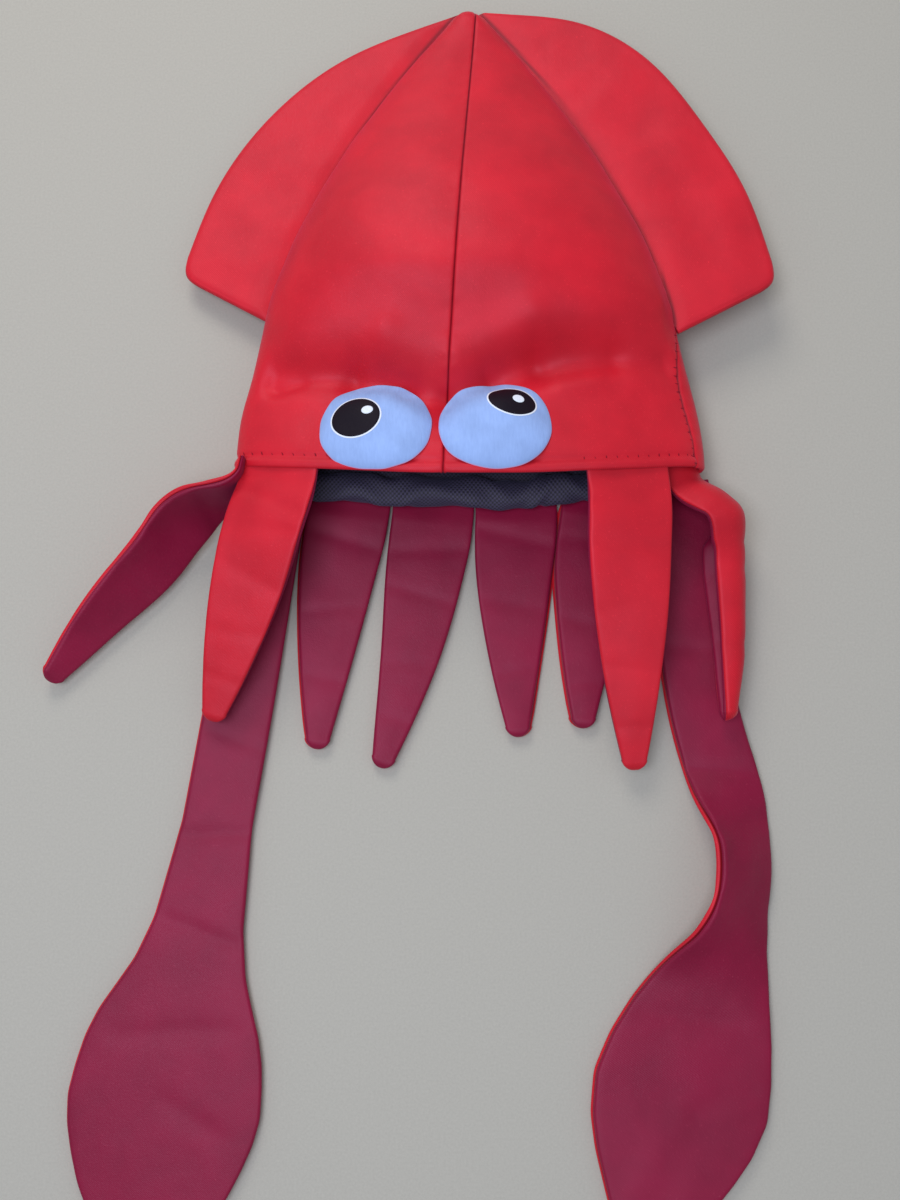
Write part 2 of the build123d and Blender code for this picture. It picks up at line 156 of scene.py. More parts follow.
class SquidColours(bpy.types.PropertyGroup):
    red: colour("Red", "Outer cloth", (0.64, 0.010, 0.024))
    crimson: colour("Crimson", "Inner cloth of arms and tentacles", (0.25, 0.0035, 0.036))
    lining: colour("Lining", "Mesh lining of the crown", (0.018, 0.014, 0.034))
    felt: colour("Felt", "Felt of the eyes", (0.32, 0.47, 0.86))
    pupil: colour("Pupil", "Printed pupils", (0.006, 0.003, 0.009))
    white: colour("White", "Printed rings and glints", (0.72, 0.78, 0.93))
    thread: colour("Thread", "Sewing thread", (0.20, 0.004, 0.018))
    floor: colour("Floor", "Plain pale floor", (0.45, 0.43, 0.39))


class SquidHatSettings(bpy.types.PropertyGroup):
    crown: PointerProperty(type=SquidCrownSizes, name="Crown", description="Sizes of the crown")
    arms: PointerProperty(type=SquidArmSizes, name="Arms", description="Sizes of the arms")
    tentacles: PointerProperty(
        type=SquidTentacleSizes, name="Tentacles", description="Sizes of the tentacles"
    )
    fins: PointerProperty(type=SquidFinSizes, name="Fins", description="Sizes of the fins")
    eyes: PointerProperty(type=SquidEyeSizes, name="Eyes", description="Sizes of the eyes")
    stitches: PointerProperty(
        type=SquidStitchSizes, name="Stitches", description="Sizes of the stitches"
    )
    colours: PointerProperty(type=SquidColours, name="Colours", description="Colours")


def settings():
    """The hat's sizes and colours."""
    return bpy.context.scene.squid_hat


# ------------------------------------------------------------------ numbers

def smooth(t):
    """A smooth step from 0 to 1."""
    t = np.clip(t, 0.0, 1.0)
    return t * t * (3 - 2 * t)


def stations(place, pairs):
    """Smooth values between (place, value) pairs."""
    place = np.asarray(place, float)
    value = np.full(place.shape, float(pairs[0][1]))
    for (y0, v0), (y1, v1) in zip(pairs, pairs[1:]):
        value = np.where(place > y0, v0 + (v1 - v0) * smooth((place - y0) / (y1 - y0)), value)
    return value


def ripple(x, y, size, seed):
    """Soft unevenness of about that size, from -1 to 1."""
    rng = np.random.default_rng(seed)
    total = np.zeros(np.broadcast(x, y).shape)
    for _ in range(7):
        angle, phase = rng.uniform(0, 2 * math.pi, 2)
        wave = 2 * math.pi / (size * rng.uniform(0.7, 1.6))
        total = total + np.sin(wave * (x * math.cos(angle) + y * math.sin(angle)) + phase)
    return total / 4.0


def unit(v):
    """Vectors of length one."""
    return v / np.maximum(np.linalg.norm(v, axis=-1, keepdims=True), 1e-12)


def grid_normals(points):
    """Normals of a grid of points."""
    along = np.gradient(points, axis=0)
    across = np.gradient(points, axis=1)
    return unit(np.cross(across, along))


def clamped_spline(points, leave, arrive, count):
    """Points on a smooth curve through points, with its end directions, evenly spaced."""
    p = np.asarray(points, float)
    step = np.linalg.norm(np.diff(p, axis=0), axis=1)
    slope = np.diff(p, axis=0) / step[:, None]
    n = len(p)
    matrix = np.eye(n)
    right = np.zeros_like(p)
    right[0] = unit(np.asarray(leave, float))
    right[-1] = unit(np.asarray(arrive, float))
    for i in range(1, n - 1):
        matrix[i, i - 1 : i + 2] = (step[i], 2 * (step[i - 1] + step[i]), step[i - 1])
        right[i] = 3 * (step[i] * slope[i - 1] + step[i - 1] * slope[i])
    d = np.linalg.solve(matrix, right)
    dense = []
    for i in range(n - 1):
        t = np.linspace(0, 1, 60, endpoint=i == n - 2)[:, None]
        h = step[i]
        dense.append(
            (2 * t**3 - 3 * t**2 + 1) * p[i]
            + (t**3 - 2 * t**2 + t) * h * d[i]
            + (3 * t**2 - 2 * t**3) * p[i + 1]
            + (t**3 - t**2) * h * d[i + 1]
        )
    dense = np.concatenate(dense)
    run = np.concatenate(([0.0], np.cumsum(np.linalg.norm(np.diff(dense, axis=0), axis=1))))
    even = np.linspace(0, run[-1], count)
    return np.stack([np.interp(even, run, dense[:, k]) for k in range(3)], axis=1)


# ------------------------------------------------------------------ meshes

def link(obj):
    """Put an object in the scene."""
    bpy.context.scene.collection.objects.link(obj)
    return obj


def new_mesh(name, verts, faces, cloth, uv, seam=None):
    """A smooth closed piece of one material, with its cloth map and an optional seam shade."""
    mesh = bpy.data.meshes.new(name)
    mesh.from_pydata([tuple(v) for v in np.asarray(verts, float)], [], faces)
    mesh.materials.append(material(cloth))
    layer = mesh.uv_layers.new(name="Cloth")
    index = np.zeros(len(mesh.loops), np.int32)
    mesh.loops.foreach_get("vertex_index", index)
    layer.data.foreach_set("uv", np.asarray(uv, np.float32)[index].ravel())
    shade = mesh.attributes.new("seam", "FLOAT", "POINT")
    values = np.zeros(len(verts)) if seam is None else np.asarray(seam, float)
    shade.data.foreach_set("value", values.astype(np.float32))
    mesh.polygons.foreach_set("use_smooth", np.ones(len(mesh.polygons), bool))
    mesh.validate()
    return point_out(link(bpy.data.objects.new(name, mesh)))


def quads(rows, columns, start=0, closed=False, flip=False):
    """Faces of a grid; closed joins its last column to its first."""
    faces = []
    for i in range(rows - 1):
        for j in range(columns if closed else columns - 1):
            k = (j + 1) % columns
            a, b = start + i * columns + j, start + i * columns + k
            c, d = start + (i + 1) * columns + k, start + (i + 1) * columns + j
            faces.append((a, d, c, b) if flip else (a, b, c, d))
    return faces


def point_out(obj):
    """Turn every face of a closed piece outwards."""
    bm = bmesh.new()
    bm.from_mesh(obj.data)
    bmesh.ops.remove_doubles(bm, verts=bm.verts, dist=1e-7)
    bmesh.ops.recalc_face_normals(bm, faces=bm.faces)
    if bm.calc_volume(signed=True) < 0:
        bmesh.ops.reverse_faces(bm, faces=bm.faces)
    bm.to_mesh(obj.data)
    bm.free()
    obj.data.set_sharp_from_angle(angle=SHARP)
    return obj


def place(obj, body, slot, *nodes):
    """Ride on a body and stand for its plain solids, which are hidden."""
    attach(obj, body)
    if nodes:
        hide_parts(*nodes)
    return obj


# ------------------------------------------------------------------ materials

class Tree:
    """A short way to write a material's nodes."""

    def __init__(self, name):
        self.material = bpy.data.materials.new(name)
        self.material.use_nodes = True
        self.nodes = self.material.node_tree.nodes
        self.links = self.material.node_tree.links
        self.shader = self.nodes["Principled BSDF"]

    def feed(self, node, inputs):
        """Give a node its inputs, each a value or another node's socket."""
        for key, value in inputs.items():
            if isinstance(value, bpy.types.NodeSocket):
                self.links.new(value, node.inputs[key])
            else:
                node.inputs[key].default_value = value

    def add(self, kind, inputs=None, **choices):
        """A node with its choices and inputs."""
        node = self.nodes.new(kind)
        for key, value in choices.items():
            setattr(node, key, value)
        self.feed(node, inputs or {})
        return node

    def mix(self, factor, first, second, blend="MIX"):
        """A colour mix."""
        inputs = {0: factor, 6: first, 7: second}
        return self.add("ShaderNodeMix", inputs, data_type="RGBA", blend_type=blend).outputs[2]

    def spread(self, socket, low, high, least=0.0, most=1.0):
        """A socket's range from low to high, spread from least to most."""
        inputs = {0: socket, 1: low, 2: high, 3: least, 4: most}
        return self.add("ShaderNodeMapRange", inputs, clamp=True).outputs[0]

    def noise(self, place_, scale, detail, roughness=0.5):
        """Soft noise at places."""
        inputs = {"Vector": place_, "Scale": scale, "Detail": detail, "Roughness": roughness}
        return self.add("ShaderNodeTexNoise", inputs).outputs[0]

    def bump(self, height, strength, distance, over=None):
        """A raised surface, on top of another where one is given."""
        inputs = {"Height": height, "Strength": strength, "Distance": distance}
        if over is not None:
            inputs["Normal"] = over
        return self.add("ShaderNodeBump", inputs).outputs[0]

    def object_place(self):
        """Places on the object itself."""
        return self.add("ShaderNodeTexCoord").outputs["Object"]

    def cloth_place(self):
        """Places on the cloth before it was sewn."""
        return self.add("ShaderNodeUVMap", uv_map="Cloth").outputs["UV"]

    def seam(self):
        """Strength of the seam shade."""
        return self.add("ShaderNodeAttribute", attribute_name="seam").outputs["Fac"]

    def paint(self, inputs):
        """Give the shader its inputs."""
        self.feed(self.shader, inputs)
        return self.material


def rgba(value, factor=1.0):
    """A colour with alpha, made lighter or darker."""
    return (*[min(1.0, c * factor) for c in value], 1.0)


def knit_material(name, base, seam_shade_colour, sheen_tint):
    """Satin-faced knit: fine diagonal ribs, soft sheen, faint unevenness and seams darkened with
    painted shade.
    """
    t = Tree(name)
    rib_pitch = 1.15 * MM
    place_ = t.object_place()
    ribs = t.add(
        "ShaderNodeTexWave",
        {"Vector": t.cloth_place(), "Scale": 0.628 / rib_pitch, "Distortion": 0.6,
         "Detail": 1.0, "Detail Scale": 2.0},
        bands_direction="DIAGONAL",
    ).outputs[0]
    broad = t.noise(place_, 26.0, 3.0, 0.55)
    fine = t.noise(place_, 900.0, 3.0, 0.6)
    tone = t.mix(t.spread(broad, 0.32, 0.68), rgba(base, 0.88), rgba(base, 1.1))
    between = t.mix(1.0, tone, rgba((0.86,) * 3), "MULTIPLY")
    tone = t.mix(t.spread(ribs, 0.1, 1.0), between, tone)
    worn = t.mix(t.spread(fine, 0.62, 0.8), tone, rgba([c * 1.25 + 0.02 for c in base]))
    weave = t.bump(ribs, 0.35, 0.16 * MM)
    nap = t.bump(fine, 0.35, 0.35 * MM, weave)
    return t.paint({
        # Painted shade: where the seam attribute is set, the colour is mixed towards the dark seam
        # shade colour.
        "Base Color": t.mix(t.seam(), worn, rgba(seam_shade_colour)),
        "Roughness": t.spread(ribs, 0.0, 1.0, 0.54, 0.42),
        "Normal": t.bump(broad, 0.3, 2.2 * MM, nap),
        "Sheen Weight": 0.16,
        "Sheen Roughness": 0.38,
        "Sheen Tint": rgba(sheen_tint),
        "Specular IOR Level": 0.34,
        "Specular Tint": rgba((1.0, 0.72, 0.92)),
    })


def lining_material(name, base):
    """Open mesh cloth with a fine diamond pattern."""
    t = Tree(name)
    turn = t.add(
        "ShaderNodeMapping", {"Vector": t.cloth_place(), "Rotation": (0, 0, math.radians(45))}
    )
    holes = t.add(
        "ShaderNodeTexVoronoi",
        {"Vector": turn.outputs[0], "Scale": 560.0, "Randomness": 0.0},
        feature="F1",
        distance="MANHATTAN",
    )
    dots = t.spread(holes.outputs["Distance"], 0.25, 0.6)
    return t.paint({
        "Base Color": t.mix(dots, rgba(base, 0.35), rgba(base, 2.3)),
        "Roughness": 0.62,
        "Normal": t.bump(dots, 0.7, 0.3 * MM),
        "Sheen Weight": 0.25,
        "Sheen Roughness": 0.4,
        "Sheen Tint": rgba((0.4, 0.42, 0.7)),
    })


def felt_material(name, base):
    """Brushed felt with a short nap, faint streaks and a pinkish cut edge."""
    t = Tree(name)
    place_ = t.object_place()
    streak = t.add(
        "ShaderNodeMapping",
        {"Vector": place_, "Scale": (1.0, 0.22, 0.22), "Rotation": (0, 0, math.radians(64))},
    )
    nap = t.noise(streak.outputs[0], 620.0, 4.0, 0.7)
    cloud = t.noise(place_, 55.0, 2.0)
    tone = t.mix(t.spread(cloud, 0.35, 0.65), rgba(base, 0.93), rgba(base, 1.05))
    between = t.mix(1.0, tone, rgba((0.9, 0.9, 0.92)), "MULTIPLY")
    tone = t.mix(t.spread(nap, 0.35, 0.7), between, tone)
    return t.paint({
        "Base Color": t.mix(t.seam(), tone, rgba((0.72, 0.36, 0.62))),
        "Roughness": 0.9,
        "Normal": t.bump(nap, 0.5, 0.5 * MM),
        "Specular IOR Level": 0.1,
    })


def print_material(name, base, rough):
    """Flat printed felt or thread with a trace of nap."""
    t = Tree(name)
    nap = t.noise(t.object_place(), 1400.0, 3.0)
    lighter = rgba([c * 1.2 + 0.002 for c in base])
    return t.paint({
        "Base Color": t.mix(t.spread(nap, 0.4, 0.75), rgba(base), lighter),
        "Roughness": rough,
        "Normal": t.bump(nap, 0.4, 0.2 * MM),
        "Specular IOR Level": 0.15,
    })


def floor_material(name, base):
    """Plain matt paper."""
    t = Tree(name)
    grain = t.noise(t.object_place(), 700.0, 4.0, 0.7)
    return t.paint({
        "Base Color": t.mix(t.spread(grain, 0.35, 0.7), rgba(base, 0.95), rgba(base, 1.05)),
        "Roughness": 0.85,
        "Normal": t.bump(grain, 0.3, 0.4 * MM),
        "Specular IOR Level": 0.2,
    })


def material(kind):
    """One of the hat's materials, made when first asked for."""
    found = bpy.data.materials.get(kind)
    if found:
        return found
    c = settings().colours
    make, *values = {
        # Each knit's second colour is its painted seam shade.
        "red_knit": (knit_material, c.red, (0.13, 0.0, 0.005), (1.0, 0.3, 0.55)),
        "crimson_knit": (knit_material, c.crimson, (0.05, 0.0, 0.006), (0.9, 0.25, 0.6)),
        "mesh_lining": (lining_material, c.lining),
        "brushed_felt": (felt_material, c.felt),
        "pupil_print": (print_material, c.pupil, 0.6),
        "white_print": (print_material, c.white, 0.75),
        "thread": (print_material, c.thread, 0.7),
        "pale_floor": (floor_material, c.floor),
    }[kind]
    return make(kind, *values)


# ------------------------------------------------------------------ crown

TIP_CAP = 6.0 * MM          # length over which the tip rounds off
MIDDLE_AT_HEM = -16.0 * MM  # where the middle seams stand at the hem
MIDDLE_SHIFT = 21.0 * MM    # how far they move to the right by the tip
HEM_SEAM_LIFT = 5.0 * MM    # how far the right side seam rises towards the hem
HEM_SEAM_LONG = 150.0 * MM  # over what length it does


def half_width(y):
    """Half width of the flattened crown."""
    c = settings().crown
    waist = c.waist * np.exp(-(((np.asarray(y, float) - c.waist_place) / c.waist_long) ** 2))
    return c.half_width * (1 - (np.asarray(y, float) / c.reach) ** 2) - waist


def equator(y):
    """Height of the side seams, without the roll."""
    c = settings().crown
    return c.seam_height - c.seam_fall * np.asarray(y, float)


def top_height(y):
    """Height of the front panels over the table."""
    c = settings().crown
    return stations(y, (
        (0.0, c.hem_height),
        (c.crease_place, c.crease_height),
        (c.bulge_place, c.bulge_height),
        (c.length, c.tip_height),
    ))


def hem_radius():
    """Radius of the hem's bow as seen from above."""
    c = settings().crown
    return (c.half_width**2 + c.hem_bow**2) / (2 * c.hem_bow)


def hem_y(x):
    """Where the hem stands at a place across the opening."""
    radius = hem_radius()
    return settings().crown.hem_middle + radius - np.sqrt(radius**2 - np.asarray(x, float) ** 2)


def crown_point(t, y, inset=0.0):
    """Points of the crown. t runs 0 to 1 over the top from right to left, 1 to 2 round the left
    corner, 2 to 3 along the table and 3 to 4 round the right corner, and then on over the top."""
    c = settings().crown
    t = np.mod(np.asarray(t, float), 4.0)
    y = np.asarray(y, float)
    past = np.clip(y - c.length + TIP_CAP, 0, TIP_CAP) / TIP_CAP
    close = np.sqrt(np.clip(1 - past**2, 0.003, 1))
    a = half_width(y) - inset
    zs = equator(y)
    top = top_height(y) - zs - inset
    low = zs - inset
    corner = c.corner * half_width(y)
    over = math.pi * np.clip(t, 0, 1)
    left = math.pi * (1 + 0.5 * np.clip(t - 1, 0, 1))
    right = math.pi * (1.5 + 0.5 * np.clip(t - 3, 0, 1))
    x = np.select(
        [t <= 1, t <= 2, t <= 3],
        [a * np.cos(over), -a + corner + corner * np.cos(left),
         (-a + corner) + (t - 2) * 2 * (a - corner)],
        a - corner + corner * np.cos(right),
    )
    z = np.select(
        [t <= 1, t <= 2, t <= 3],
        [top * np.sin(over), low * np.sin(left), -low + 0 * t],
        low * np.sin(right),
    )
    return np.stack([x * close, y + 0 * x, zs + z * close], axis=-1)


def middle_x(y):
    """Where the middle seams run."""
    c = settings().crown
    return MIDDLE_AT_HEM + MIDDLE_SHIFT * (np.clip(y, 0, None) / c.length) ** 1.15


def seam_place(which, y):
    """Where a seam stands round the crown, as t."""
    c = settings().crown
    a, zs = half_width(y), equator(y)
    top = top_height(y) - zs
    corner = c.corner * a
    if which == "top":
        return np.arccos(np.clip(middle_x(y) / a, -1, 1)) / math.pi
    if which == "bottom":
        return 2 + np.clip((middle_x(y) + a - corner) / (2 * (a - corner)), 0.02, 0.98)
    if which == "right":
        lift = c.seam_roll * a + HEM_SEAM_LIFT * np.clip(1 - y / HEM_SEAM_LONG, 0, 1)
        return np.arcsin(np.clip(lift / top, 0, 0.9)) / math.pi
    drop = c.seam_roll * a
    return 1 + np.arcsin(np.clip(drop / zs, 0, 0.9)) / (0.5 * math.pi)


GORES = {
    "crown_front_right": ("right", "top"),
    "crown_front_left": ("top", "left"),
    "crown_back_left": ("left", "bottom"),
    "crown_back_right": ("bottom", "right"),
}

# Soft folds of the front panels: from, to, depth and half width, all in millimetres.
FOLDS = (
    ((-14, 40), (-38, 47), 6.0, 11),
    ((-38, 47), (-70, 58), 6.5, 11),
    ((-70, 58), (-120, 62), 5.5, 10),
    ((-14, 40), (12, 54), 6.0, 11),
    ((12, 54), (40, 66), 7.0, 12),
    ((40, 66), (86, 71), 6.0, 12),
    ((86, 71), (124, 69), 4.0, 9),
    ((-104, 84), (-50, 80), -3.4, 14),
    ((-50, 80), (-10, 66), -3.4, 13),
    ((-10, 66), (36, 88), -3.4, 13),
    ((36, 88), (112, 104), -3.8, 15),
    ((30, 47), (74, 56), -1.6, 7),
    ((-123, 57), (-116, 52), 1.6, 4),
    ((-116, 52), (-100, 58), 1.6, 4),
    ((46, 112), (104, 104), 0.7, 5),
    ((30, 120), (84, 112), 0.5, 5),
    ((20, 142), (60, 148), 0.45, 6),
    ((-72, 40), (-50, 58), 0.8, 6),
    ((52, 52), (96, 62), -0.9, 8),
    ((-30, 128), (-12, 121), 0.4, 4),
    ((8, 172), (44, 178), 0.4, 6),
    ((-96, 20), (-84, 44), 0.6, 7),
    ((96, 14), (104, 44), 0.6, 7),
)


def fold_depth(x, y, folds):
    """Depth of the folds at places on a sheet."""
    depth = np.zeros(np.broadcast(x, y).shape)
    for (x0, y0), (x1, y1), deep, wide in folds:
        a = np.array((x0, y0)) * MM
        d = np.array((x1, y1)) * MM - a
        t = ((x - a[0]) * d[0] + (y - a[1]) * d[1]) / (d @ d)
        k = np.clip(t, 0, 1)
        away = np.hypot(x - a[0] - k * d[0], y - a[1] - k * d[1])
        fade = np.exp(-((np.abs(t - 0.5) / 0.62) ** 6))
        depth += deep * MM * np.exp(-((away / (wide * MM)) ** 2)) * (0.35 + 0.65 * fade)
    return depth


def gore_grid(first, second, rows, columns, inset=0.0):
    """Points, seam distances and cloth map of the crown between two seams."""
    c = settings().crown
    s = np.linspace(0, 1, columns)
    across = 0.72 * 0.5 * (1 - np.cos(math.pi * s)) + 0.28 * s
    v = np.linspace(0, 1, rows)
    y_rows = (c.length - 0.05 * MM) * (0.35 * v + 0.65 * (1 - np.cos(0.5 * math.pi * v)))
    points, away, cloth = [], [], []
    for y in y_rows:
        t0, t1 = float(seam_place(first, y)), float(seam_place(second, y))
        if t1 <= t0:
            t1 += 4.0
        dense_t = np.linspace(t0, t1, 260)
        dense = crown_point(dense_t, np.full(260, y), inset)
        run = np.concatenate(([0], np.cumsum(np.linalg.norm(np.diff(dense, axis=0), axis=1))))
        t = np.interp(across * run[-1], run, dense_t)
        x = crown_point(t, np.full(columns, y), inset)[:, 0]
        bowed = y + hem_y(x) * (1 - y / c.length)
        points.append(crown_point(t, bowed, inset))
        away.append(np.minimum(across, 1 - across) * run[-1])
        cloth.append(np.stack([across * run[-1] - 0.5 * run[-1], bowed], axis=-1))
    return np.array(points), np.array(away), np.array(cloth)


def crown_direction(points):
    """Outward directions on the crown, the same on both sides of every seam."""
    c = settings().crown
    x, y, z = points[..., 0], points[..., 1], points[..., 2]
    a, zs = half_width(y), equator(y)
    corner = c.corner * a
    over = np.sign(x) * np.clip(np.abs(x) - (a - corner), 0, None)
    upper = z >= zs
    side = np.where(upper, x / a**2, over / corner**2)
    rise = np.where(upper, (z - zs) / (top_height(y) - zs) ** 2, (z - zs) / zs**2)
    return unit(np.stack([side, 0 * side, rise], axis=-1))


def outward(points, normals):
    """Normals turned away from the crown's middle line."""
    middle = np.stack([0 * points[..., 0], points[..., 1], 0.5 * top_height(points[..., 1])], -1)
    side = np.sum(normals * (points - middle), axis=-1)
    return normals * (1 if np.mean(side) > 0 else -1)


def bump_at(place_, middle, wide):
    """A soft round rise about a middle, from 0 to 1."""
    return np.exp(-(((place_ - middle) / wide) ** 2))


def crown_relief(points, away, front):
    """How far the cloth stands over the plain crown: grooves at seams, folds, unevenness."""
    c = settings().crown
    seam_edge, filling, filled_over = 2.3 * MM, 0.5 * MM, 16 * MM
    pucker_deep, pucker_pitch, pucker_wide = 0.28 * MM, 9.5 * MM, 5 * MM
    x, y = points[..., 0], points[..., 1]
    near = np.clip(1 - away / seam_edge, 0, 1)
    relief = -c.groove * (1 - np.sqrt(np.clip(1 - near**2, 0, 1)))
    relief = relief + filling * smooth(away / filled_over) * smooth(y / (20 * MM))
    if front:
        inside = y - hem_y(x)
        from_side = 1 - np.abs(x) / half_width(y)
        relief = relief + 0.9 * MM * bump_at(inside, 2.0 * MM, 2.2 * MM)
        relief = relief - 0.8 * MM * bump_at(inside, 6.2 * MM, 1.6 * MM)
        relief = relief - fold_depth(x, y, FOLDS) * smooth((from_side - 0.035) / 0.08)
        relief = relief + 0.55 * MM * ripple(x, y, 46 * MM, 11)
    wander = 3 * ripple(x, y, 30 * MM, 5)
    pucker = pucker_deep * np.sin(2 * math.pi * y / pucker_pitch + wander)
    return relief + pucker * bump_at(away, 0.0, pucker_wide) * smooth(away / (0.8 * MM))


def shell(points, normals, wall, rim_steps=7):
    """A closed wall under a grid whose first row is a rounded free edge."""
    rows, columns = points.shape[:2]
    out = unit(points[0] - points[1])
    middle = points[0] - normals[0] * wall / 2
    rim = []
    for k in range(1, rim_steps):
        angle = math.pi * k / rim_steps
        rim.append(middle + wall / 2 * (normals[0] * math.cos(angle) + out * math.sin(angle)))
    inner = points - normals * wall
    sheet = np.concatenate([points[::-1], np.array(rim), inner])
    total = sheet.shape[0]
    faces = quads(total, columns)
    for j in range(columns - 1):
        faces.append((j + 1, j, (total - 1) * columns + j, (total - 1) * columns + j + 1))
    for column in (0, columns - 1):
        for i in range(rows - 1):
            a, b = i * columns + column, (i + 1) * columns + column
            c, d = (total - 2 - i) * columns + column, (total - 1 - i) * columns + column
            faces.append((a, b, c, d) if column == 0 else (b, a, d, c))
        faces.append([(rows - 1 + k) * columns + column for k in range(rim_steps + 1)])
    return sheet, faces


def both_faces(values, total_rows):
    """Values of a grid's outer face, its rim and its inner face, as a shell has them."""
    rim = np.repeat(values[:1], total_rows - 2 * len(values), 0)
    return np.concatenate([values[::-1], rim, values])


def crown_surface(name):
    """The outer cloth of one crown panel, with its normals, seam distances and map."""
    front = "front" in name
    points, away, cloth = gore_grid(*GORES[name], 150 if front else 110, 76 if front else 56)
    relief = crown_relief(points, away, front)
    flat = np.clip(points[..., 2] / (6 * MM), 0, 1) if not front else 1.0
    raised = points + crown_direction(points) * (relief * flat)[..., None]
    return raised, outward(raised, grid_normals(raised)), away, cloth


def make_gore(name):
    """One foam cloth panel of the crown."""
    c = settings().crown
    points, normals, away, cloth = crown_surface(name)
    sheet, faces = shell(points, normals, c.wall - 0.4 * MM)
    # Painted shade: a thin dark line along the groove of every seam.
    shade = both_faces(0.85 * bump_at(away, 0.0, 0.55 * MM), len(sheet))
    uv = both_faces(cloth, len(sheet))
    obj = new_mesh(
        name + "_cloth", sheet.reshape(-1, 3), faces, "red_knit", uv.reshape(-1, 2), shade.ravel()
    )
    place(obj, "mantle", "red_satin", name)


def make_lining(name, first, second):
    """Half of the mesh lining, gathered a little and held clear of the panels' folds."""
    c = settings().crown
    inwards, tip_room = 4 * MM, 16 * MM
    points, _, cloth = gore_grid(first, second, 70, 70, c.wall + 0.2 * MM)
    gather = 0.8 * MM + 0.5 * MM * (1 + ripple(points[..., 0], points[..., 1], 24 * MM, 21))
    if "front" in name:
        spots = [
            fold_depth(points[..., 0], points[..., 1] + step * MM, FOLDS)
            for step in (-4, 0, 4, 8, 12)
        ]
        gather = gather + 1.4 * MM + np.maximum(np.max(spots, axis=0), 0)
    points = points - crown_direction(points) * gather[..., None]
    points[..., 1] = np.minimum(points[..., 1] + inwards, c.length - tip_room)
    normals = outward(points, grid_normals(points))
    sheet, faces = shell(points, normals, 0.6 * MM, 4)
    uv = both_faces(cloth, len(sheet)).reshape(-1, 2)
    obj = new_mesh(name + "_mesh", sheet.reshape(-1, 3), faces, "mesh_lining", uv)
    place(obj, "mantle", "lining_mesh", name)


# ------------------------------------------------------------------ strips: arms and tentacles

EDGE_ROLL = 0.62          # radius of a strip's rolled edge, as a share of its thickness
SEAM_GAP = 0.03           # half the gap between the two layers, as the same share
ROOT_START = -2.5 * MM    # how far a flat strip reaches in under the hem
CAP = 8.0 * MM            # length of a strip's tip that has closer rows
CAP_ROWS = 16
TOP_ROWS = 25             # rows across the face of a strip
ROOT_THIN = 16.0 * MM     # length over which a sewn root thickens
TIP_THIN = 5.5 * MM       # length over which a tip thins
# strength of the painted shade at a strip's seams
SEAM_SHADE = 0.8


class Strip:
    """A two-layer strip along a smooth path, rolled about the path as it goes."""

    def __init__(self, points, rolls, thickness, dips=False, count=240):
        pts = np.array(points, float) * MM
        slope = float(pts[0, 0] / math.sqrt(hem_radius() ** 2 - pts[0, 0] ** 2))
        first = pts[1] - pts[0]
        leave = np.array((slope, -1.0, 0.0)) / math.hypot(slope, 1.0)
        leave = leave * math.hypot(first[0], first[1])
        leave[2] = first[2] if dips else 0.0
        self.line = clamped_spline(pts, leave, pts[-1] - pts[-2], count)
        step = np.linalg.norm(np.diff(self.line, axis=0), axis=1)
        self.run = np.concatenate(([0.0], np.cumsum(step)))
        self.length = float(self.run[-1])
        self.rolls = rolls
        self.half_widths = None
        self.thickness = thickness

    def frames(self, s):
        """Places, directions, level directions and upward normals at lengths s."""
        tangent = unit(np.gradient(self.line, axis=0))
        place_ = np.stack([np.interp(s, self.run, self.line[:, k]) for k in range(3)], -1)
        ahead = unit(np.stack([np.interp(s, self.run, tangent[:, k]) for k in range(3)], -1))
        before = np.minimum(s, 0.0)[:, None]
        place_ = place_ + ahead * before
        level = unit(np.cross(UP, ahead))
        return place_, ahead, level, unit(np.cross(ahead, level))


def side_profile(thickness):
    """Half cross-section of a strip: (share of the half width, inset from it, height) rows from
    the right seam over the face to the left seam."""
    roll = EDGE_ROLL * thickness
    right = [(1.0, -1.15 * MM, SEAM_GAP * thickness)]
    for angle in (-52, -25, 0, 22, 45, 67, 90):
        a = math.radians(angle)
        right.append((1.0, -roll + roll * math.cos(a), 0.5 * thickness * (1 + math.sin(a))))
    top = [(1 - 2 * k / (TOP_ROWS + 1), None, thickness) for k in range(1, TOP_ROWS + 1)]
    left = [(-f, -i, h) for f, i, h in reversed(right)]
    return right + top + left


def strip_section(strip, w, thick):
    """Places across a strip and heights over its middle, row by row, and which are its face."""
    t = strip.thickness
    profile = side_profile(t)
    inset = np.minimum(1.0, w / (2.4 * t))
    x, h = np.zeros((2, len(w), len(profile)))
    for j, (f, i, height) in enumerate(profile):
        x[:, j] = f * (w - EDGE_ROLL * t * inset) if i is None else np.sign(f) * w + i * inset
        h[:, j] = height * thick
    under = np.linspace(-1, 1, 5)[1:-1] * (w - 1.6 * MM * inset)[:, None]
    return x, h, np.array([i is None for _, i, _ in profile]), under


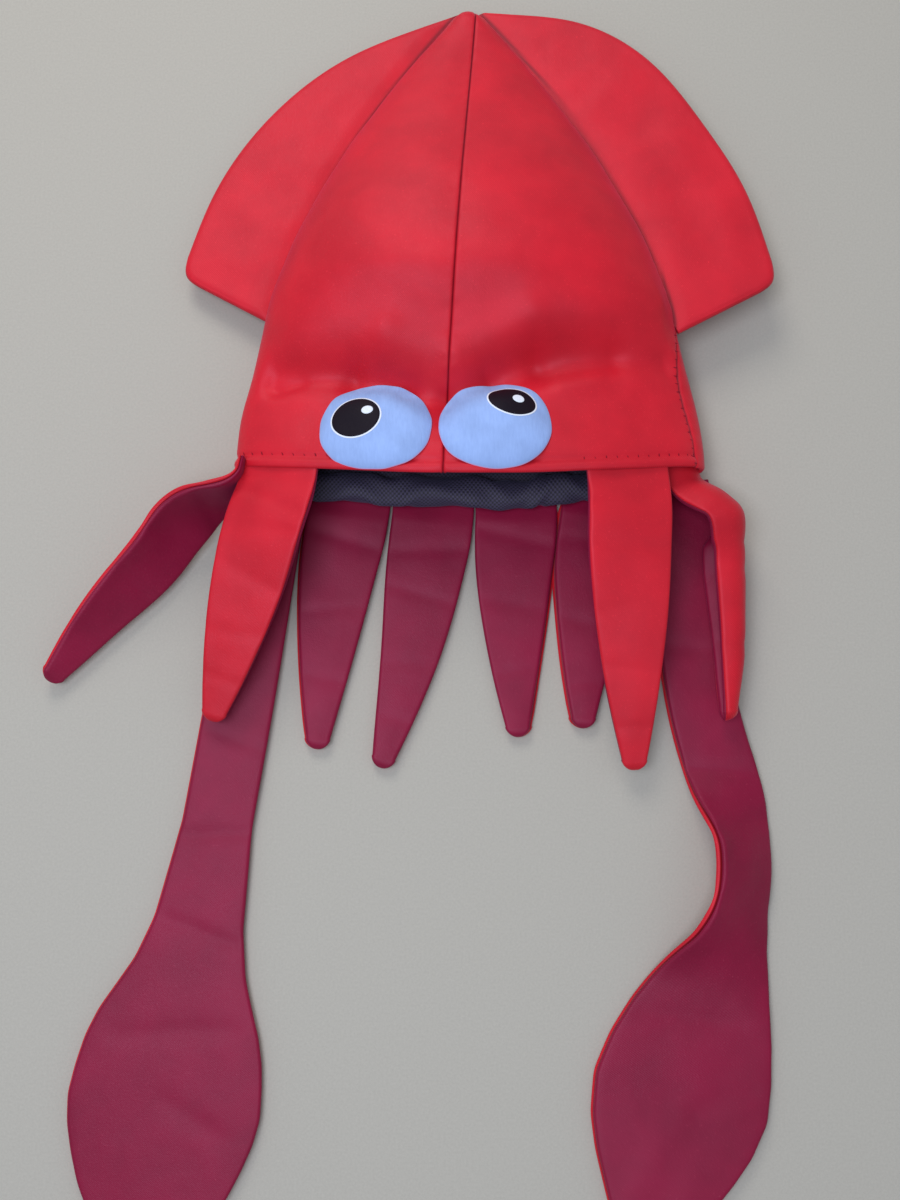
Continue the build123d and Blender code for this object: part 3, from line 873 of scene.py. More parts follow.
def strip_half(name, strip, start, end, side, cloth, rows=150, curl=None, sink=0.0, folds=(),
               tip=True, thin_root=True, settle=None, seed=5, tuck=(0, 0, 0), lean=0.0):
    """One layer of a strip, as a closed piece: side is 1 for the upper and -1 for the lower."""
    s = start + (end - start) * np.linspace(0, 1, rows)
    if tip:
        body = np.linspace(0, 1, rows - CAP_ROWS) * (end - start - CAP) + start
        cap = end - CAP * (1 - np.sin(np.linspace(0, math.pi / 2, CAP_ROWS + 1)[1:]))
        s = np.concatenate([body, cap])
    centre, ahead, level, normal = strip.frames(s)
    along = s / strip.length
    roll = np.radians(stations(np.clip(along, 0, 1), strip.rolls))
    w = np.array([strip.half_widths(v) for v in s])
    t = strip.thickness
    thick = np.full(s.shape, 1.0)
    if thin_root:
        thick = 0.5 + 0.5 * smooth((s + 2 * MM) / ROOT_THIN)
        centre = centre - normal * (sink * (1 - smooth(s / (26 * MM))))[:, None]
    if tip:
        left = np.clip(end - s, 0, TIP_THIN) / TIP_THIN
        thick = thick * np.sqrt(np.clip(1 - (1 - left) ** 2, 0.02, 1))
    x, h, is_face, under = strip_section(strip, w, thick)
    share_ = x / np.maximum(w, 1e-6)[:, None]
    puff = 0.35 * MM * (1 - share_**2) * np.minimum(1, w / (12 * MM))[:, None]
    s_grid = s[:, None] + 0 * x
    uneven = 0.32 * MM * ripple(x + 3 * side, s_grid, 30 * MM, seed + side)
    lift = (puff + uneven * (1 - share_**2) - fold_depth(x, s_grid, folds)) * thick[:, None]
    h = h + np.where(is_face, lift, lift * (h / t) ** 2)
    base_x = np.concatenate([x, under], axis=1)
    base_h = np.concatenate([h, np.full(under.shape, SEAM_GAP * t)], axis=1) * side
    first = unit(level * np.cos(roll)[:, None] + normal * np.sin(roll)[:, None])
    second = unit(np.cross(ahead, first))
    centre = centre + (1 - smooth(s / (24 * MM)))[:, None] * np.array(tuck) * MM
    if side < 0:
        base_x = base_x + lean * (smooth(s / (12 * MM)) * np.minimum(1, w / (9 * MM)))[:, None]
    flat_x, flat_h = base_x, base_h
    if curl is not None:
        flat_x, flat_h = curled(base_x, base_h, w, along, curl)
    if settle is not None:
        line_x = np.linspace(-1, 1, 41)[None, :] * w[:, None]
        line_x, line_h = curled(line_x, 0 * line_x, w, along, curl)
        line = centre[:, None] + first[:, None] * line_x[..., None]
        line = line + second[:, None] * line_h[..., None]
        goal = stations(along, settle[0]) * MM + t
        hold = smooth(s / (30 * MM))
        centre[:, 2] += hold * (goal - line[..., 2].min(axis=1))
        spread = 0.5 * (line[..., 0].min(axis=1) + line[..., 0].max(axis=1))
        centre[:, 0] += hold * (centre[:, 0] + settle[1] * MM - spread)
    points = centre[:, None, :] + first[:, None, :] * flat_x[..., None]
    points = points + second[:, None, :] * flat_h[..., None]
    total = points.shape[1]
    faces = quads(len(s), total, closed=True)
    faces.append(list(range(total)))
    faces.append([(len(s) - 1) * total + j for j in reversed(range(total))])
    # Painted shade along the seam at the strip's edges and over the faces between its two layers.
    seam = np.zeros(points.shape[:2])
    seam[:, 0] = SEAM_SHADE
    seam[:, x.shape[1] - 1 :] = SEAM_SHADE
    uv = np.stack([base_x, s[:, None] + 0 * base_x], axis=-1)
    return new_mesh(name, points.reshape(-1, 3), faces, cloth, uv.reshape(-1, 2), seam.ravel())


def curled(x, h, w, along, curl):
    """Bend a strip's cross-section: curl gives the turn at each place along, and from and to
    which shares of the half width it happens."""
    turn = np.radians(stations(along, curl["turn"]))
    still = stations(along, curl["still"])
    low, high = curl["span"]
    fine = np.linspace(-1.15, 1.15, 93)
    out_x, out_h = np.zeros_like(x), np.zeros_like(h)
    for i in range(x.shape[0]):
        angle = turn[i] * (smooth((fine - low) / (high - low)) - still[i])
        step = w[i] * (fine[1] - fine[0])
        line_x = np.concatenate(([0], np.cumsum(np.cos(0.5 * (angle[1:] + angle[:-1])) * step)))
        line_h = np.concatenate(([0], np.cumsum(np.sin(0.5 * (angle[1:] + angle[:-1])) * step)))
        k = len(fine) // 2
        line_x, line_h = line_x - line_x[k], line_h - line_h[k]
        at = x[i] / max(w[i], 1e-6)
        a = np.interp(at, fine, angle)
        out_x[i] = np.interp(at, fine, line_x) - h[i] * np.sin(a)
        out_h[i] = np.interp(at, fine, line_h) + h[i] * np.cos(a)
    return out_x, out_h


def rounded_end(w, left, cap):
    """A half width drawn in over the last stretch, so that the end is round."""
    if left >= cap:
        return w
    return w * math.sqrt(max(0.0, 1 - (1 - left / cap) ** 2)) + 0.35 * MM


def arm_width(root, tip, long, fullness):
    """Half width of an arm: straight at first, then tapering to a rounded tip."""
    straight = 0.12

    def width(s):
        t = max(0.0, (s / long - straight) / (1 - straight))
        w = tip + (root - tip) * (1 - min(t, 1.0) ** fullness)
        return rounded_end(w, max(long - s, 0.0), tip)

    return width


def hinge_of(name):
    """A joint's place and the direction of its axis."""
    joint = JOINTS[name]
    return np.array(joint["pos_m"]), np.array(joint["axis"])


def heading_path(root, heading, long, bow, heights):
    """Points from the root at a heading from -Y, bowed sideways, at the given heights."""
    run = math.radians(heading)
    points = []
    for i, z in enumerate(heights):
        t = i / (len(heights) - 1)
        side = bow * math.sin(math.pi * t)
        x = root[0] + t * long * math.sin(run) + side * math.cos(run)
        y = root[1] - t * long * math.cos(run) + side * math.sin(run)
        points.append((x, y, z))
    return points


def strip_blend(obj, strip, at, before, after):
    """Bake a strip piece's placement into its mesh; the places before and after the joint along the
    strip are looked up and not used.
    """
    for s in (at - before, at + after):
        strip.frames(np.array([s]))[0][0]
    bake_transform(obj)


def make_layer(name, layer, strip, start, end, side, **look):
    """One layer of an arm or a tentacle, outer or inner, in its own cloth."""
    cloth, finish = {
        "outer": ("red_knit", "red_satin"),
        "inner": ("crimson_knit", "crimson_satin"),
    }[layer]
    obj = strip_half(f"{name}_{layer}_cloth", strip, start, end, side, cloth, **look)
    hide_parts(f"{name}_{layer}")
    return obj


def make_arm(name, joint, strip, upper, lower, start=ROOT_START, **look):
    """Both layers of an arm."""
    for side, layer in ((1, upper), (-1, lower)):
        obj = make_layer(name, layer, strip, start, strip.length, side, **look)
        strip_blend(obj, strip, 0.0, 3 * MM, 22 * MM)


def cross_folds(places):
    """Shallow folds across a strip: (along, slant, depth, half width) in millimetres."""
    return tuple(
        ((-22, along - slant), (22, along + slant), depth, wide)
        for along, slant, depth, wide in places
    )


# Headings in degrees from straight down, lengths, heights and bows in millimetres.
FRONT_ARMS = {
    "arm_front_left": dict(
        heading=-15.5, long=150.0, tip=16.5, bow=0.0,
        folds=((16, 3, 0.9, 5), (34, -4, 0.7, 5), (62, 5, 0.5, 5), (96, -3, 0.5, 5),
               (124, 2, 0.4, 4)),
    ),
    "arm_front_right": dict(
        heading=1.7, long=172.0, tip=12.5, bow=-1.0,
        folds=((14, -3, 0.9, 5), (40, 3, 0.6, 5), (74, -5, 0.5, 5), (112, 3, 0.5, 5),
               (146, 1, 0.4, 4)),
    ),
}


def front_arm(name):
    """One of the two arms that hang over the opening, red side up."""
    spec = FRONT_ARMS[name]
    pos, axis = hinge_of(name + "_lift")
    root, tip = pos / MM, spec["tip"]
    run = math.sqrt(spec["long"] ** 2 - (root[2] - tip) ** 2)
    heights = [tip + (root[2] - tip) * (1 - (i / 5) ** 1.35) for i in range(6)]
    slope = math.degrees(math.asin(-axis[2] if axis[0] < 0 else axis[2]))
    a = settings().arms
    strip = Strip(
        heading_path(root, spec["heading"], run, spec["bow"], heights),
        ((0, slope * 1.05), (0.65, 0.2 * slope), (1, 0.0)),
        a.half_thickness,
        dips=True,
    )
    strip.half_widths = arm_width(a.half_root, a.half_tip, strip.length, 1.8)
    make_arm(name, name + "_lift", strip, "outer", "inner", folds=cross_folds(spec["folds"]),
             start=-9 * MM, sink=3.6 * MM)


BACK_ARMS = {
    "arm_back_1": dict(
        heading=-6.6, bow=-2.0, long=154.0, lean=-1.5,
        folds=((26, 3, 0.6, 5), (70, -4, 0.4, 4), (112, 3, 0.4, 4)),
    ),
    "arm_back_2": dict(
        heading=-10.8, bow=4.0, long=164.0, lean=-0.3,
        folds=((30, -4, 0.6, 5), (58, 3, 0.5, 4), (100, -3, 0.5, 5), (134, 2, 0.4, 4)),
    ),
    "arm_back_3": dict(
        heading=0.0, bow=-2.0, long=143.0, lean=1.6,
        folds=((22, 4, 0.6, 5), (64, 4, 0.5, 5), (104, -3, 0.4, 4)),
    ),
    "arm_back_4": dict(
        heading=-5.6, bow=-2.0, long=142.0, lean=-1.6,
        folds=((28, -3, 0.5, 5), (80, 4, 0.5, 5), (116, -2, 0.4, 4)),
    ),
}


def back_arm(name):
    """One of the four arms that lie flat, crimson side up."""
    spec = BACK_ARMS[name]
    pos, _ = hinge_of(name + "_lift")
    a = settings().arms
    root = pos / MM
    path = heading_path(root, spec["heading"], spec["long"], spec["bow"], [root[2]] * 5)
    strip = Strip(path, ((0, 0), (1, 0)), a.half_thickness)
    strip.half_widths = arm_width(a.half_root, a.half_tip, strip.length, 1.5)
    make_arm(name, name + "_lift", strip, "inner", "outer", folds=cross_folds(spec["folds"]),
             lean=spec["lean"] * MM)


SIDE_ARMS = {
    "arm_side_left": dict(
        offsets=((0, 0), (-24, -21), (-48, -49), (-76, -80), (-114, -126)),
        rolls=((0, -90), (0.3, -52), (0.6, -42), (1, -34)),
        lows=((0, 7.3), (0.35, 0.6), (1, 0.6)),
        long=164.0,
        reach=170.0,
        curl=dict(
            turn=((0, 0), (0.3, 26), (0.7, 18), (1, 8)), span=(-1.0, 1.0), still=((0, 0.5), (1, 0.5))
        ),
        settle=None,
        tuck=(7.0, 0.0, -3.0),
        folds=((24, 5, 0.9, 5), (52, -4, 0.6, 5), (90, 4, 0.5, 5), (130, -2, 0.4, 4)),
    ),
    "arm_side_right": dict(
        offsets=((0, 0), (9, -18), (13, -48), (14, -90), (12.5, -144)),
        rolls=((0, 90), (0.3, 114), (0.7, 116), (1, 108)),
        lows=((0, 7.3), (1, 12.8)),
        long=148.0,
        reach=146.0,
        curl=dict(
            turn=((0, 84), (0.08, 88), (0.42, 158), (0.86, 164), (1, 150)),
            span=(-0.55, 0.75),
            still=((0, 0.06), (0.35, 0.64), (1, 0.64)),
        ),
        settle=(((0, 7.3), (0.3, 7.6), (1, 12.0)), -5.0),
        tuck=(-6.0, 0.0, -5.0),
        folds=((20, 4, 0.8, 5), (60, -3, 0.5, 5), (104, 3, 0.5, 4)),
    ),
}


def side_arm(name):
    """One of the two arms at the corners of the hem, which stand on edge at first."""
    spec = SIDE_ARMS[name]
    pos, _ = hinge_of(name + "_swing")
    root = pos / MM
    a = settings().arms
    long, fullness = spec["long"], 1.9
    width = arm_width(a.left_half_root, a.half_tip, long * MM, fullness)
    stretch = long / spec["reach"]
    points = []
    for dx, dy in spec["offsets"]:
        dx, dy = dx * stretch, dy * stretch
        part = min(math.hypot(dx, dy) / long, 1.0)
        angle = math.radians(float(stations(part, spec["rolls"])))
        w = width(min(part * long * MM, long * MM - a.half_tip)) / MM
        z = float(stations(part, spec["lows"])) + w * abs(math.sin(angle))
        z += a.half_thickness / MM * abs(math.cos(angle))
        points.append((root[0] + dx, root[1] + dy, z))
    strip = Strip(points, spec["rolls"], a.half_thickness)
    wide = a.right_half_root if name == "arm_side_right" else a.left_half_root
    strip.half_widths = arm_width(wide, a.half_tip, strip.length, fullness)
    make_arm(name, name + "_swing", strip, "inner", "outer", folds=cross_folds(spec["folds"]),
             curl=spec["curl"], settle=spec["settle"], tuck=spec["tuck"], start=-6 * MM)


CLUB_SHAPES = {
    "left": (
        (0.0, 0.473), (0.125, 0.59), (0.2, 0.71), (0.28, 0.845), (0.355, 0.93), (0.43, 0.973),
        (0.51, 1.0), (0.585, 0.96), (0.66, 0.875), (0.74, 0.76), (0.9, 0.42),
    ),
    "right": (
        (0.0, 0.41), (0.14, 0.48), (0.25, 0.64), (0.36, 0.82), (0.46, 0.94), (0.56, 1.0),
        (0.66, 0.92), (0.74, 0.78), (0.9, 0.42),
    ),
}


def club_width(side, middle, neck, long):
    """Half width of a tentacle: a strap, then a leaf-shaped club with angular shoulders."""
    p = settings().tentacles
    fullest = p.club_left if side == "left" else p.club_right
    cap = p.tip_share * fullest
    places = [middle] + [neck + (long - neck) * u for u, _ in CLUB_SHAPES[side]] + [long]
    widths = [p.strap_half_width] + [f * fullest for _, f in CLUB_SHAPES[side]] + [cap]
    fine = np.linspace(-20 * MM, long + 20 * MM, 1001)
    window = np.hanning(27)
    padded = np.pad(np.interp(fine, places, widths), len(window) // 2, mode="edge")
    soft = np.convolve(padded, window / window.sum(), mode="valid")

    def width(s):
        return rounded_end(float(np.interp(s, fine, soft)), max(long - s, 0.0), cap)

    return width


TENTACLES = {
    "left": dict(
        points=((-128, -62), (-137, -127), (-146, -186), (-155, -244), (-161, -280),
                (-169, -325), (-177, -385), (-185, -455)),
        rolls=((0, 0), (1, 0)),
        middle=205.0, neck=262.0, cuts=(100.0, 233.0),
        folds=((-20, 76, -12, 60, 0.7, 5), (-18, 150, 20, 158, 0.5, 4), (-20, 214, 20, 206, 0.9, 5),
               (-34, 330, 30, 316, 0.7, 6), (0, 360, 34, 376, 0.6, 6), (-20, 262, 22, 270, 0.8, 5)),
    ),
    "right": dict(
        points=((133, -66), (140, -135), (150, -175), (157.5, -212), (155, -245),
                (140, -292), (120, -350), (95, -445)),
        rolls=((0, 0), (0.36, 0), (0.48, -37), (0.54, -37), (0.68, 0), (1, 0)),
        middle=158.0, neck=246.0, cuts=(100.0, 202.0),
        folds=((-20, 96, 18, 104, 0.6, 5), (-20, 168, 20, 182, 1.2, 6), (-20, 212, 22, 204, 1.0, 5),
               (-24, 250, 26, 258, 1.1, 7), (-36, 330, 20, 318, 0.7, 6), (8, 372, 36, 352, 0.6, 6)),
    ),
}


def tentacle(side):
    """A long strap ending in a wide club, in three runs that meet end to end."""
    spec = TENTACLES[side]
    p = settings().tentacles
    t = p.half_thickness
    pos, _ = hinge_of(f"tentacle_{side}_root")
    flat = [(pos[0] / MM, pos[1] / MM)] + list(spec["points"])
    runs = [0.0]
    for (x0, y0), (x1, y1) in zip(flat, flat[1:]):
        runs.append(runs[-1] + math.hypot(x1 - x0, y1 - y0))
    width = club_width(side, spec["middle"] * MM, spec["neck"] * MM, runs[-1] * MM)
    points = []
    for (x, y), run in zip(flat, runs):
        roll = math.radians(float(stations(run / runs[-1], spec["rolls"])))
        z = width(run * MM) / MM * abs(math.sin(roll)) + t / MM * abs(math.cos(roll))
        points.append((x, y, z))
    strip = Strip(points, spec["rolls"], t, count=420)
    strip.half_widths = club_width(side, spec["middle"] * MM, spec["neck"] * MM, strip.length)
    folds = tuple(((x0, y0), (x1, y1), d, w) for x0, y0, x1, y1, d, w in spec["folds"])
    cuts = (ROOT_START, spec["cuts"][0] * MM, spec["cuts"][1] * MM, strip.length)
    past = 3.9  # how far past the middle and the neck the joints stand
    joints = (
        ("upper", f"tentacle_{side}_root", 0.0, 3.0, 22.0),
        ("lower", f"tentacle_{side}_bend", spec["middle"] + past, 26.0, 14.0),
        ("club", f"tentacle_{side}_neck", spec["neck"] + past, 22.0, 22.0),
    )
    for face, layer in ((1, "inner"), (-1, "outer")):
        for k, (part, joint, at, before, after) in enumerate(joints):
            obj = make_layer(
                f"tentacle_{side}_{part}", layer, strip, cuts[k], cuts[k + 1], face,
                rows=(70, 80, 150)[k], folds=folds, tip=k == 2, thin_root=k == 0, seed=31,
                lean=-1.3 * MM,
            )
            strip_blend(obj, strip, at * MM, before * MM, after * MM)


# ------------------------------------------------------------------ fins

FINS = {
    "left": ((-7, 318.5), (-76, 290), (-127, 248), (-163, 191), (-181, 137), (-119, 102)),
    "right": ((12, 319), (70, 310), (114, 282), (148, 234), (172, 187), (189, 125), (127, 93)),
}


CORNER_ROUND = 13.0 * MM    # how near the outer corner a fin's edge is rounded
CORNER_STEPS = 60
SEAM_TUCK = 3.0 * MM        # how far a fin reaches in under the crown
FIN_GAP = 0.12 * MM         # from the middle of a fin to each layer


def fin_outline(side):
    """The fin's edge from the tip to the lower end of its seam, with a rounded corner."""
    rows, curved, straight = 150, 160, 60
    pts = np.array([(x, y, 0.0) for x, y in FINS[side]])
    curve = clamped_spline(pts[:-1] * MM, pts[1] - pts[0], pts[-2] - pts[-3], curved)[:, :2]
    end = pts[-1][:2] * MM
    line = curve[-1] + (end - curve[-1]) * np.linspace(0, 1, straight)[1:, None]
    edge = np.concatenate([curve, line])
    rounded = edge.copy()
    near = np.linalg.norm(edge - edge[curved - 1], axis=1) < CORNER_ROUND
    for _ in range(CORNER_STEPS):
        soft = rounded.copy()
        soft[1:-1] = 0.25 * rounded[:-2] + 0.5 * rounded[1:-1] + 0.25 * rounded[2:]
        rounded[near] = soft[near]
    run = np.concatenate(([0], np.cumsum(np.linalg.norm(np.diff(rounded, axis=0), axis=1))))
    even = np.linspace(0, run[-1], rows)
    return np.stack([np.interp(even, run, rounded[:, k]) for k in range(2)], axis=1)


def fin_height(x, y, away, from_seam, sign):
    """Height of a fin's face over its middle: rolled edge, flat root, soft filling, gathers."""
    p = settings().fins
    roll = np.clip(away / p.edge, 0, 1)
    height = p.half_thickness * np.sqrt(np.clip(1 - (1 - roll) ** 2, 0, 1))
    height = height * (0.5 + 0.5 * smooth(from_seam / (14 * MM)))
    middle = smooth(away / (26 * MM)) * smooth(from_seam / (30 * MM))
    height = height + (0.9 * MM + 0.5 * MM * ripple(x, y, 38 * MM, 3 + sign)) * middle
    spread = np.arctan2(y - 0.2, np.abs(x))
    gather = 0.5 * MM * np.sin(16 * spread + 2 * ripple(x, y, 60 * MM, 9)) * middle
    return height + gather * np.exp(-from_seam / (30 * MM))


def fin_half(side, face, name):
    """One padded layer of a fin."""
    c = settings().crown
    columns = 44
    sign = -1 if side == "left" else 1
    edge = fin_outline(side)
    rows = len(edge)
    y_seam = np.linspace(edge[0, 1] - 3 * MM, edge[-1, 1] + 6 * MM, rows)
    seam = np.stack([sign * (half_width(y_seam) - SEAM_TUCK), y_seam], axis=1)
    u = np.linspace(0, 1, columns)
    u = 0.35 * u + 0.65 * (1 - (1 - u) ** 1.9)
    flat = seam[:, None, :] + (edge - seam)[:, None, :] * u[None, :, None]
    away = np.min(np.linalg.norm(flat[:, :, None, :] - edge[None, None], axis=-1), axis=-1)
    from_seam = np.linalg.norm(flat - seam[:, None, :], axis=-1)
    x, y = flat[..., 0], flat[..., 1]
    height = fin_height(x, y, away, from_seam, sign)
    normal = unit(np.array((-c.seam_roll, c.seam_fall, 1.0)))
    base = np.stack([x, y, c.seam_height + c.seam_roll * x - c.seam_fall * y], axis=-1)
    top = base + normal * (face * (height + FIN_GAP))[..., None]
    low = base + normal * (face * FIN_GAP)
    verts = np.concatenate([top.reshape(-1, 3), low.reshape(-1, 3)])
    n = rows * columns
    faces = quads(rows, columns) + quads(rows, columns, n, flip=True)
    for i in range(rows - 1):
        for j in (0, columns - 1):
            a, b = i * columns + j, (i + 1) * columns + j
            faces.append((a, a + n, b + n, b))
    for j in range(columns - 1):
        for i in (0, rows - 1):
            a, b = i * columns + j, i * columns + j + 1
            faces.append((a, b, b + n, a + n))
    # Painted shadow: a dark line across the fin's face where it comes out from under the crown; the
    # faces between the two layers carry half strength painted shade.
    line = 0.8 * bump_at(from_seam, 3.6 * MM, 1.3 * MM)
    shade = np.concatenate([line.ravel(), np.full(n, 0.5)])
    uv = np.concatenate([flat.reshape(-1, 2)] * 2)
    return new_mesh(name, verts, faces, "red_knit", uv, shade)


def make_fin(side):
    """Both padded layers of a fin, reaching out from the side seam."""
    pos, axis = hinge_of(f"fin_{side}_flap")
    sign = -1 if side == "left" else 1
    out = unit(np.cross(axis, UP))
    out = out * (1 if out[0] * sign > 0 else -1)
    for face, panel in ((1, "front"), (-1, "back")):
        obj = fin_half(side, face, f"fin_{side}_{panel}_cloth")
        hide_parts(f"fin_{side}_{panel}_panel")
        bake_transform(obj)


# ------------------------------------------------------------------ eyes

EYES = {
    "left": dict(at=(-55, 26), tilt=-0.1, pupil=(-10.5, 2.0), size=(14.4, 12.6), turn=8,
                 glint=(-3.6, 5.5)),
    "right": dict(at=(14, 26), tilt=0.02, pupil=(9.5, 12.0), size=(14.0, 9.6), turn=-14,
                  glint=(13.2, 13.2)),
}


def front_z(x, y):
    """Height of the front cloth."""
    zs = equator(y)
    share_ = np.clip(np.abs(x) / half_width(np.clip(y, 0, None)), 0, 0.999)
    z = zs + (top_height(y) - zs) * np.sqrt(1 - share_**2)
    return z - fold_depth(x, y, FOLDS) * 0.8


EYE_SLOPE = 0.21            # how far an eye leans down towards the hem
EYE_SIT = 2.0 * MM          # how high an eye's middle sits over the cloth
EYE_FALL = 9.0 * MM         # how far its edge may drop to meet the cloth
PADDING_GAP = 0.3 * MM      # between the felt, the stuffing and the cloth
RING = 0.8                  # width of the pale ring about a pupil, in millimetres


class EyeFace:
    """The face of an eye: world points at places on its felt."""

    def __init__(self, side):
        eye = EYES[side]
        self.e = settings().eyes
        x, y = eye["at"][0] * MM, eye["at"][1] * MM
        self.normal = unit(np.array((eye["tilt"], EYE_SLOPE, 1.0)))
        z = float(front_z(x, y)) + EYE_SIT
        self.origin = np.array((x, y, z))
        self.x_dir = unit(np.array((1.0, 0, 0)) - self.normal * self.normal[0])
        self.y_dir = np.cross(self.normal, self.x_dir)
        self.seed = 3 if side == "left" else 8

    def rim(self, angle):
        """Radius of the hand-cut edge."""
        rng = np.random.default_rng(self.seed)
        r = np.ones_like(angle)
        for k in (2, 3, 5, 8, 13):
            height = self.e.wobble * rng.uniform(0.3, 1)
            r = r + height * np.sin(k * angle + rng.uniform(0, 6.28)) / k**0.5
        power = 2.25  # 2 is a plain oval, and more is fuller at the corners
        across = np.abs(np.cos(angle)) ** power
        up = np.abs(np.sin(angle) / self.e.oval) ** power
        return self.e.radius * r * (across + up) ** (-1 / power)

    def at(self, px, py, over=0.0):
        """World points over the felt at local places."""
        angle = np.arctan2(py, px)
        share_ = np.clip(np.hypot(px, py) / self.rim(angle), 0, 1)
        dome = self.e.rise * np.clip(1 - share_**2.3, 0, 1) ** 0.9
        dent = 0.35 * MM * ripple(px, py, 22 * MM, self.seed) * (1 - share_**4)
        flat = self.origin + self.x_dir * px[..., None] + self.y_dir * py[..., None]
        rest = front_z(flat[..., 0], flat[..., 1]) + self.e.felt + 0.5 * MM
        low = flat.copy()
        low[..., 2] = np.maximum(rest, flat[..., 2] - EYE_FALL)
        hold = smooth(share_**1.5)
        base = flat * (1 - hold)[..., None] + low * hold[..., None]
        return base + self.normal * (dome + dent + over)[..., None]


def polar(rings, spokes):
    """Shares of the radius and angles of a round grid with a middle."""
    r = np.sin(0.5 * math.pi * np.linspace(0, 1, rings + 1)[1:]) ** 0.9
    a = np.linspace(0, 2 * math.pi, spokes, endpoint=False)
    return np.meshgrid(r, a, indexing="ij")


def round_piece(name, middle_top, top, middle_low, low, cloth):
    """A closed round piece from a top and an underside, ring by ring."""
    rings, spokes = top.shape[:2]
    verts = np.concatenate([[middle_top], top.reshape(-1, 3), low[::-1].reshape(-1, 3), [middle_low]])
    faces = [(0, 1 + j, 1 + (j + 1) % spokes) for j in range(spokes)]
    faces += quads(2 * rings, spokes, 1, closed=True)
    last = 1 + (2 * rings - 1) * spokes
    end = len(verts) - 1
    faces += [(end, last + (j + 1) % spokes, last + j) for j in range(spokes)]
    ring = np.linspace(0, 1, rings + 1)[1:]
    pink = np.repeat(smooth((ring - 0.88) / 0.1), spokes)
    shade = np.concatenate([[0.0], pink, pink[::-1], [0.0]])
    return new_mesh(name, verts, faces, cloth, verts[:, :2], shade)


def patch(face, name, place_, radii, turn, lift, thickness, cloth, rings=10, spokes=56):
    """A thin oval patch lying on an eye."""
    r, a = polar(rings, spokes)
    turn = math.radians(turn)
    lx, ly = radii[0] * MM * r * np.cos(a), radii[1] * MM * r * np.sin(a)
    px = place_[0] * MM + lx * math.cos(turn) - ly * math.sin(turn)
    py = place_[1] * MM + lx * math.sin(turn) + ly * math.cos(turn)
    edge = np.sqrt(np.clip(1 - r**14, 0, 1))
    top = face.at(px, py, lift + thickness * edge)
    low = face.at(px, py, lift + 0 * r)
    cx, cy = np.array(place_[0] * MM), np.array(place_[1] * MM)
    return round_piece(
        name, face.at(cx, cy, np.array(lift + thickness)), top, face.at(cx, cy, np.array(lift)),
        low, cloth,
    )


def make_eye(side):
    """Stuffed felt eye with its printed pupil, ring and glint."""
    eye = EYES[side]
    face = EyeFace(side)
    felt = settings().eyes.felt
    r, a = polar(30, 110)
    rim = face.rim(a)
    px, py = r * rim * np.cos(a), r * rim * np.sin(a)
    zero = np.array(0.0)
    round_edge = 0.55 * felt * (1 - np.sqrt(np.clip(1 - r**30, 0, 1)))
    top = face.at(px, py, -round_edge)
    low = face.at(px, py, -felt + round_edge)
    cover = round_piece(
        f"eye_{side}_felt", face.at(zero, zero), top, face.at(zero, zero, np.array(-felt)), low,
        "brushed_felt",
    )
    place(cover, "mantle", "eye_felt", f"eye_{side}_cover")
    r, a = polar(14, 60)
    rim = face.rim(a) * 0.9
    px, py = r * rim * np.cos(a), r * rim * np.sin(a)
    top = face.at(px, py, -felt - PADDING_GAP + 0 * r)
    low = top.copy()
    cloth_z = front_z(top[..., 0], top[..., 1]) + PADDING_GAP
    low[..., 2] = np.minimum(cloth_z, top[..., 2] - 0.2 * MM)
    middle = face.at(zero, zero, np.array(-felt - PADDING_GAP))
    under = middle.copy()
    under[2] = float(front_z(middle[0], middle[1])) + PADDING_GAP
    stuffing = round_piece(f"eye_{side}_fill", middle, top, under, low, "brushed_felt")
    place(stuffing, "mantle", "stuffing", f"eye_{side}_stuffing")
    size, turn = eye["size"], eye["turn"]
    ring = patch(face, f"eye_{side}_ring", eye["pupil"], (size[0] + RING, size[1] + RING), turn,
                 0.12 * MM, 0.25 * MM, "white_print")
    place(ring, "mantle", "glint_white")
    pupil = patch(face, f"eye_{side}_dark", eye["pupil"], size, turn, 0.2 * MM, 0.5 * MM,
                  "pupil_print")
    place(pupil, "mantle", "pupil_black", f"eye_{side}_pupil")
    glint = patch(face, f"eye_{side}_light", eye["glint"], (3.4, 2.8), turn, 0.72 * MM, 0.25 * MM,
                  "white_print", 5, 32)
    place(glint, "mantle", "glint_white", f"eye_{side}_glint")


# ------------------------------------------------------------------ hem bands

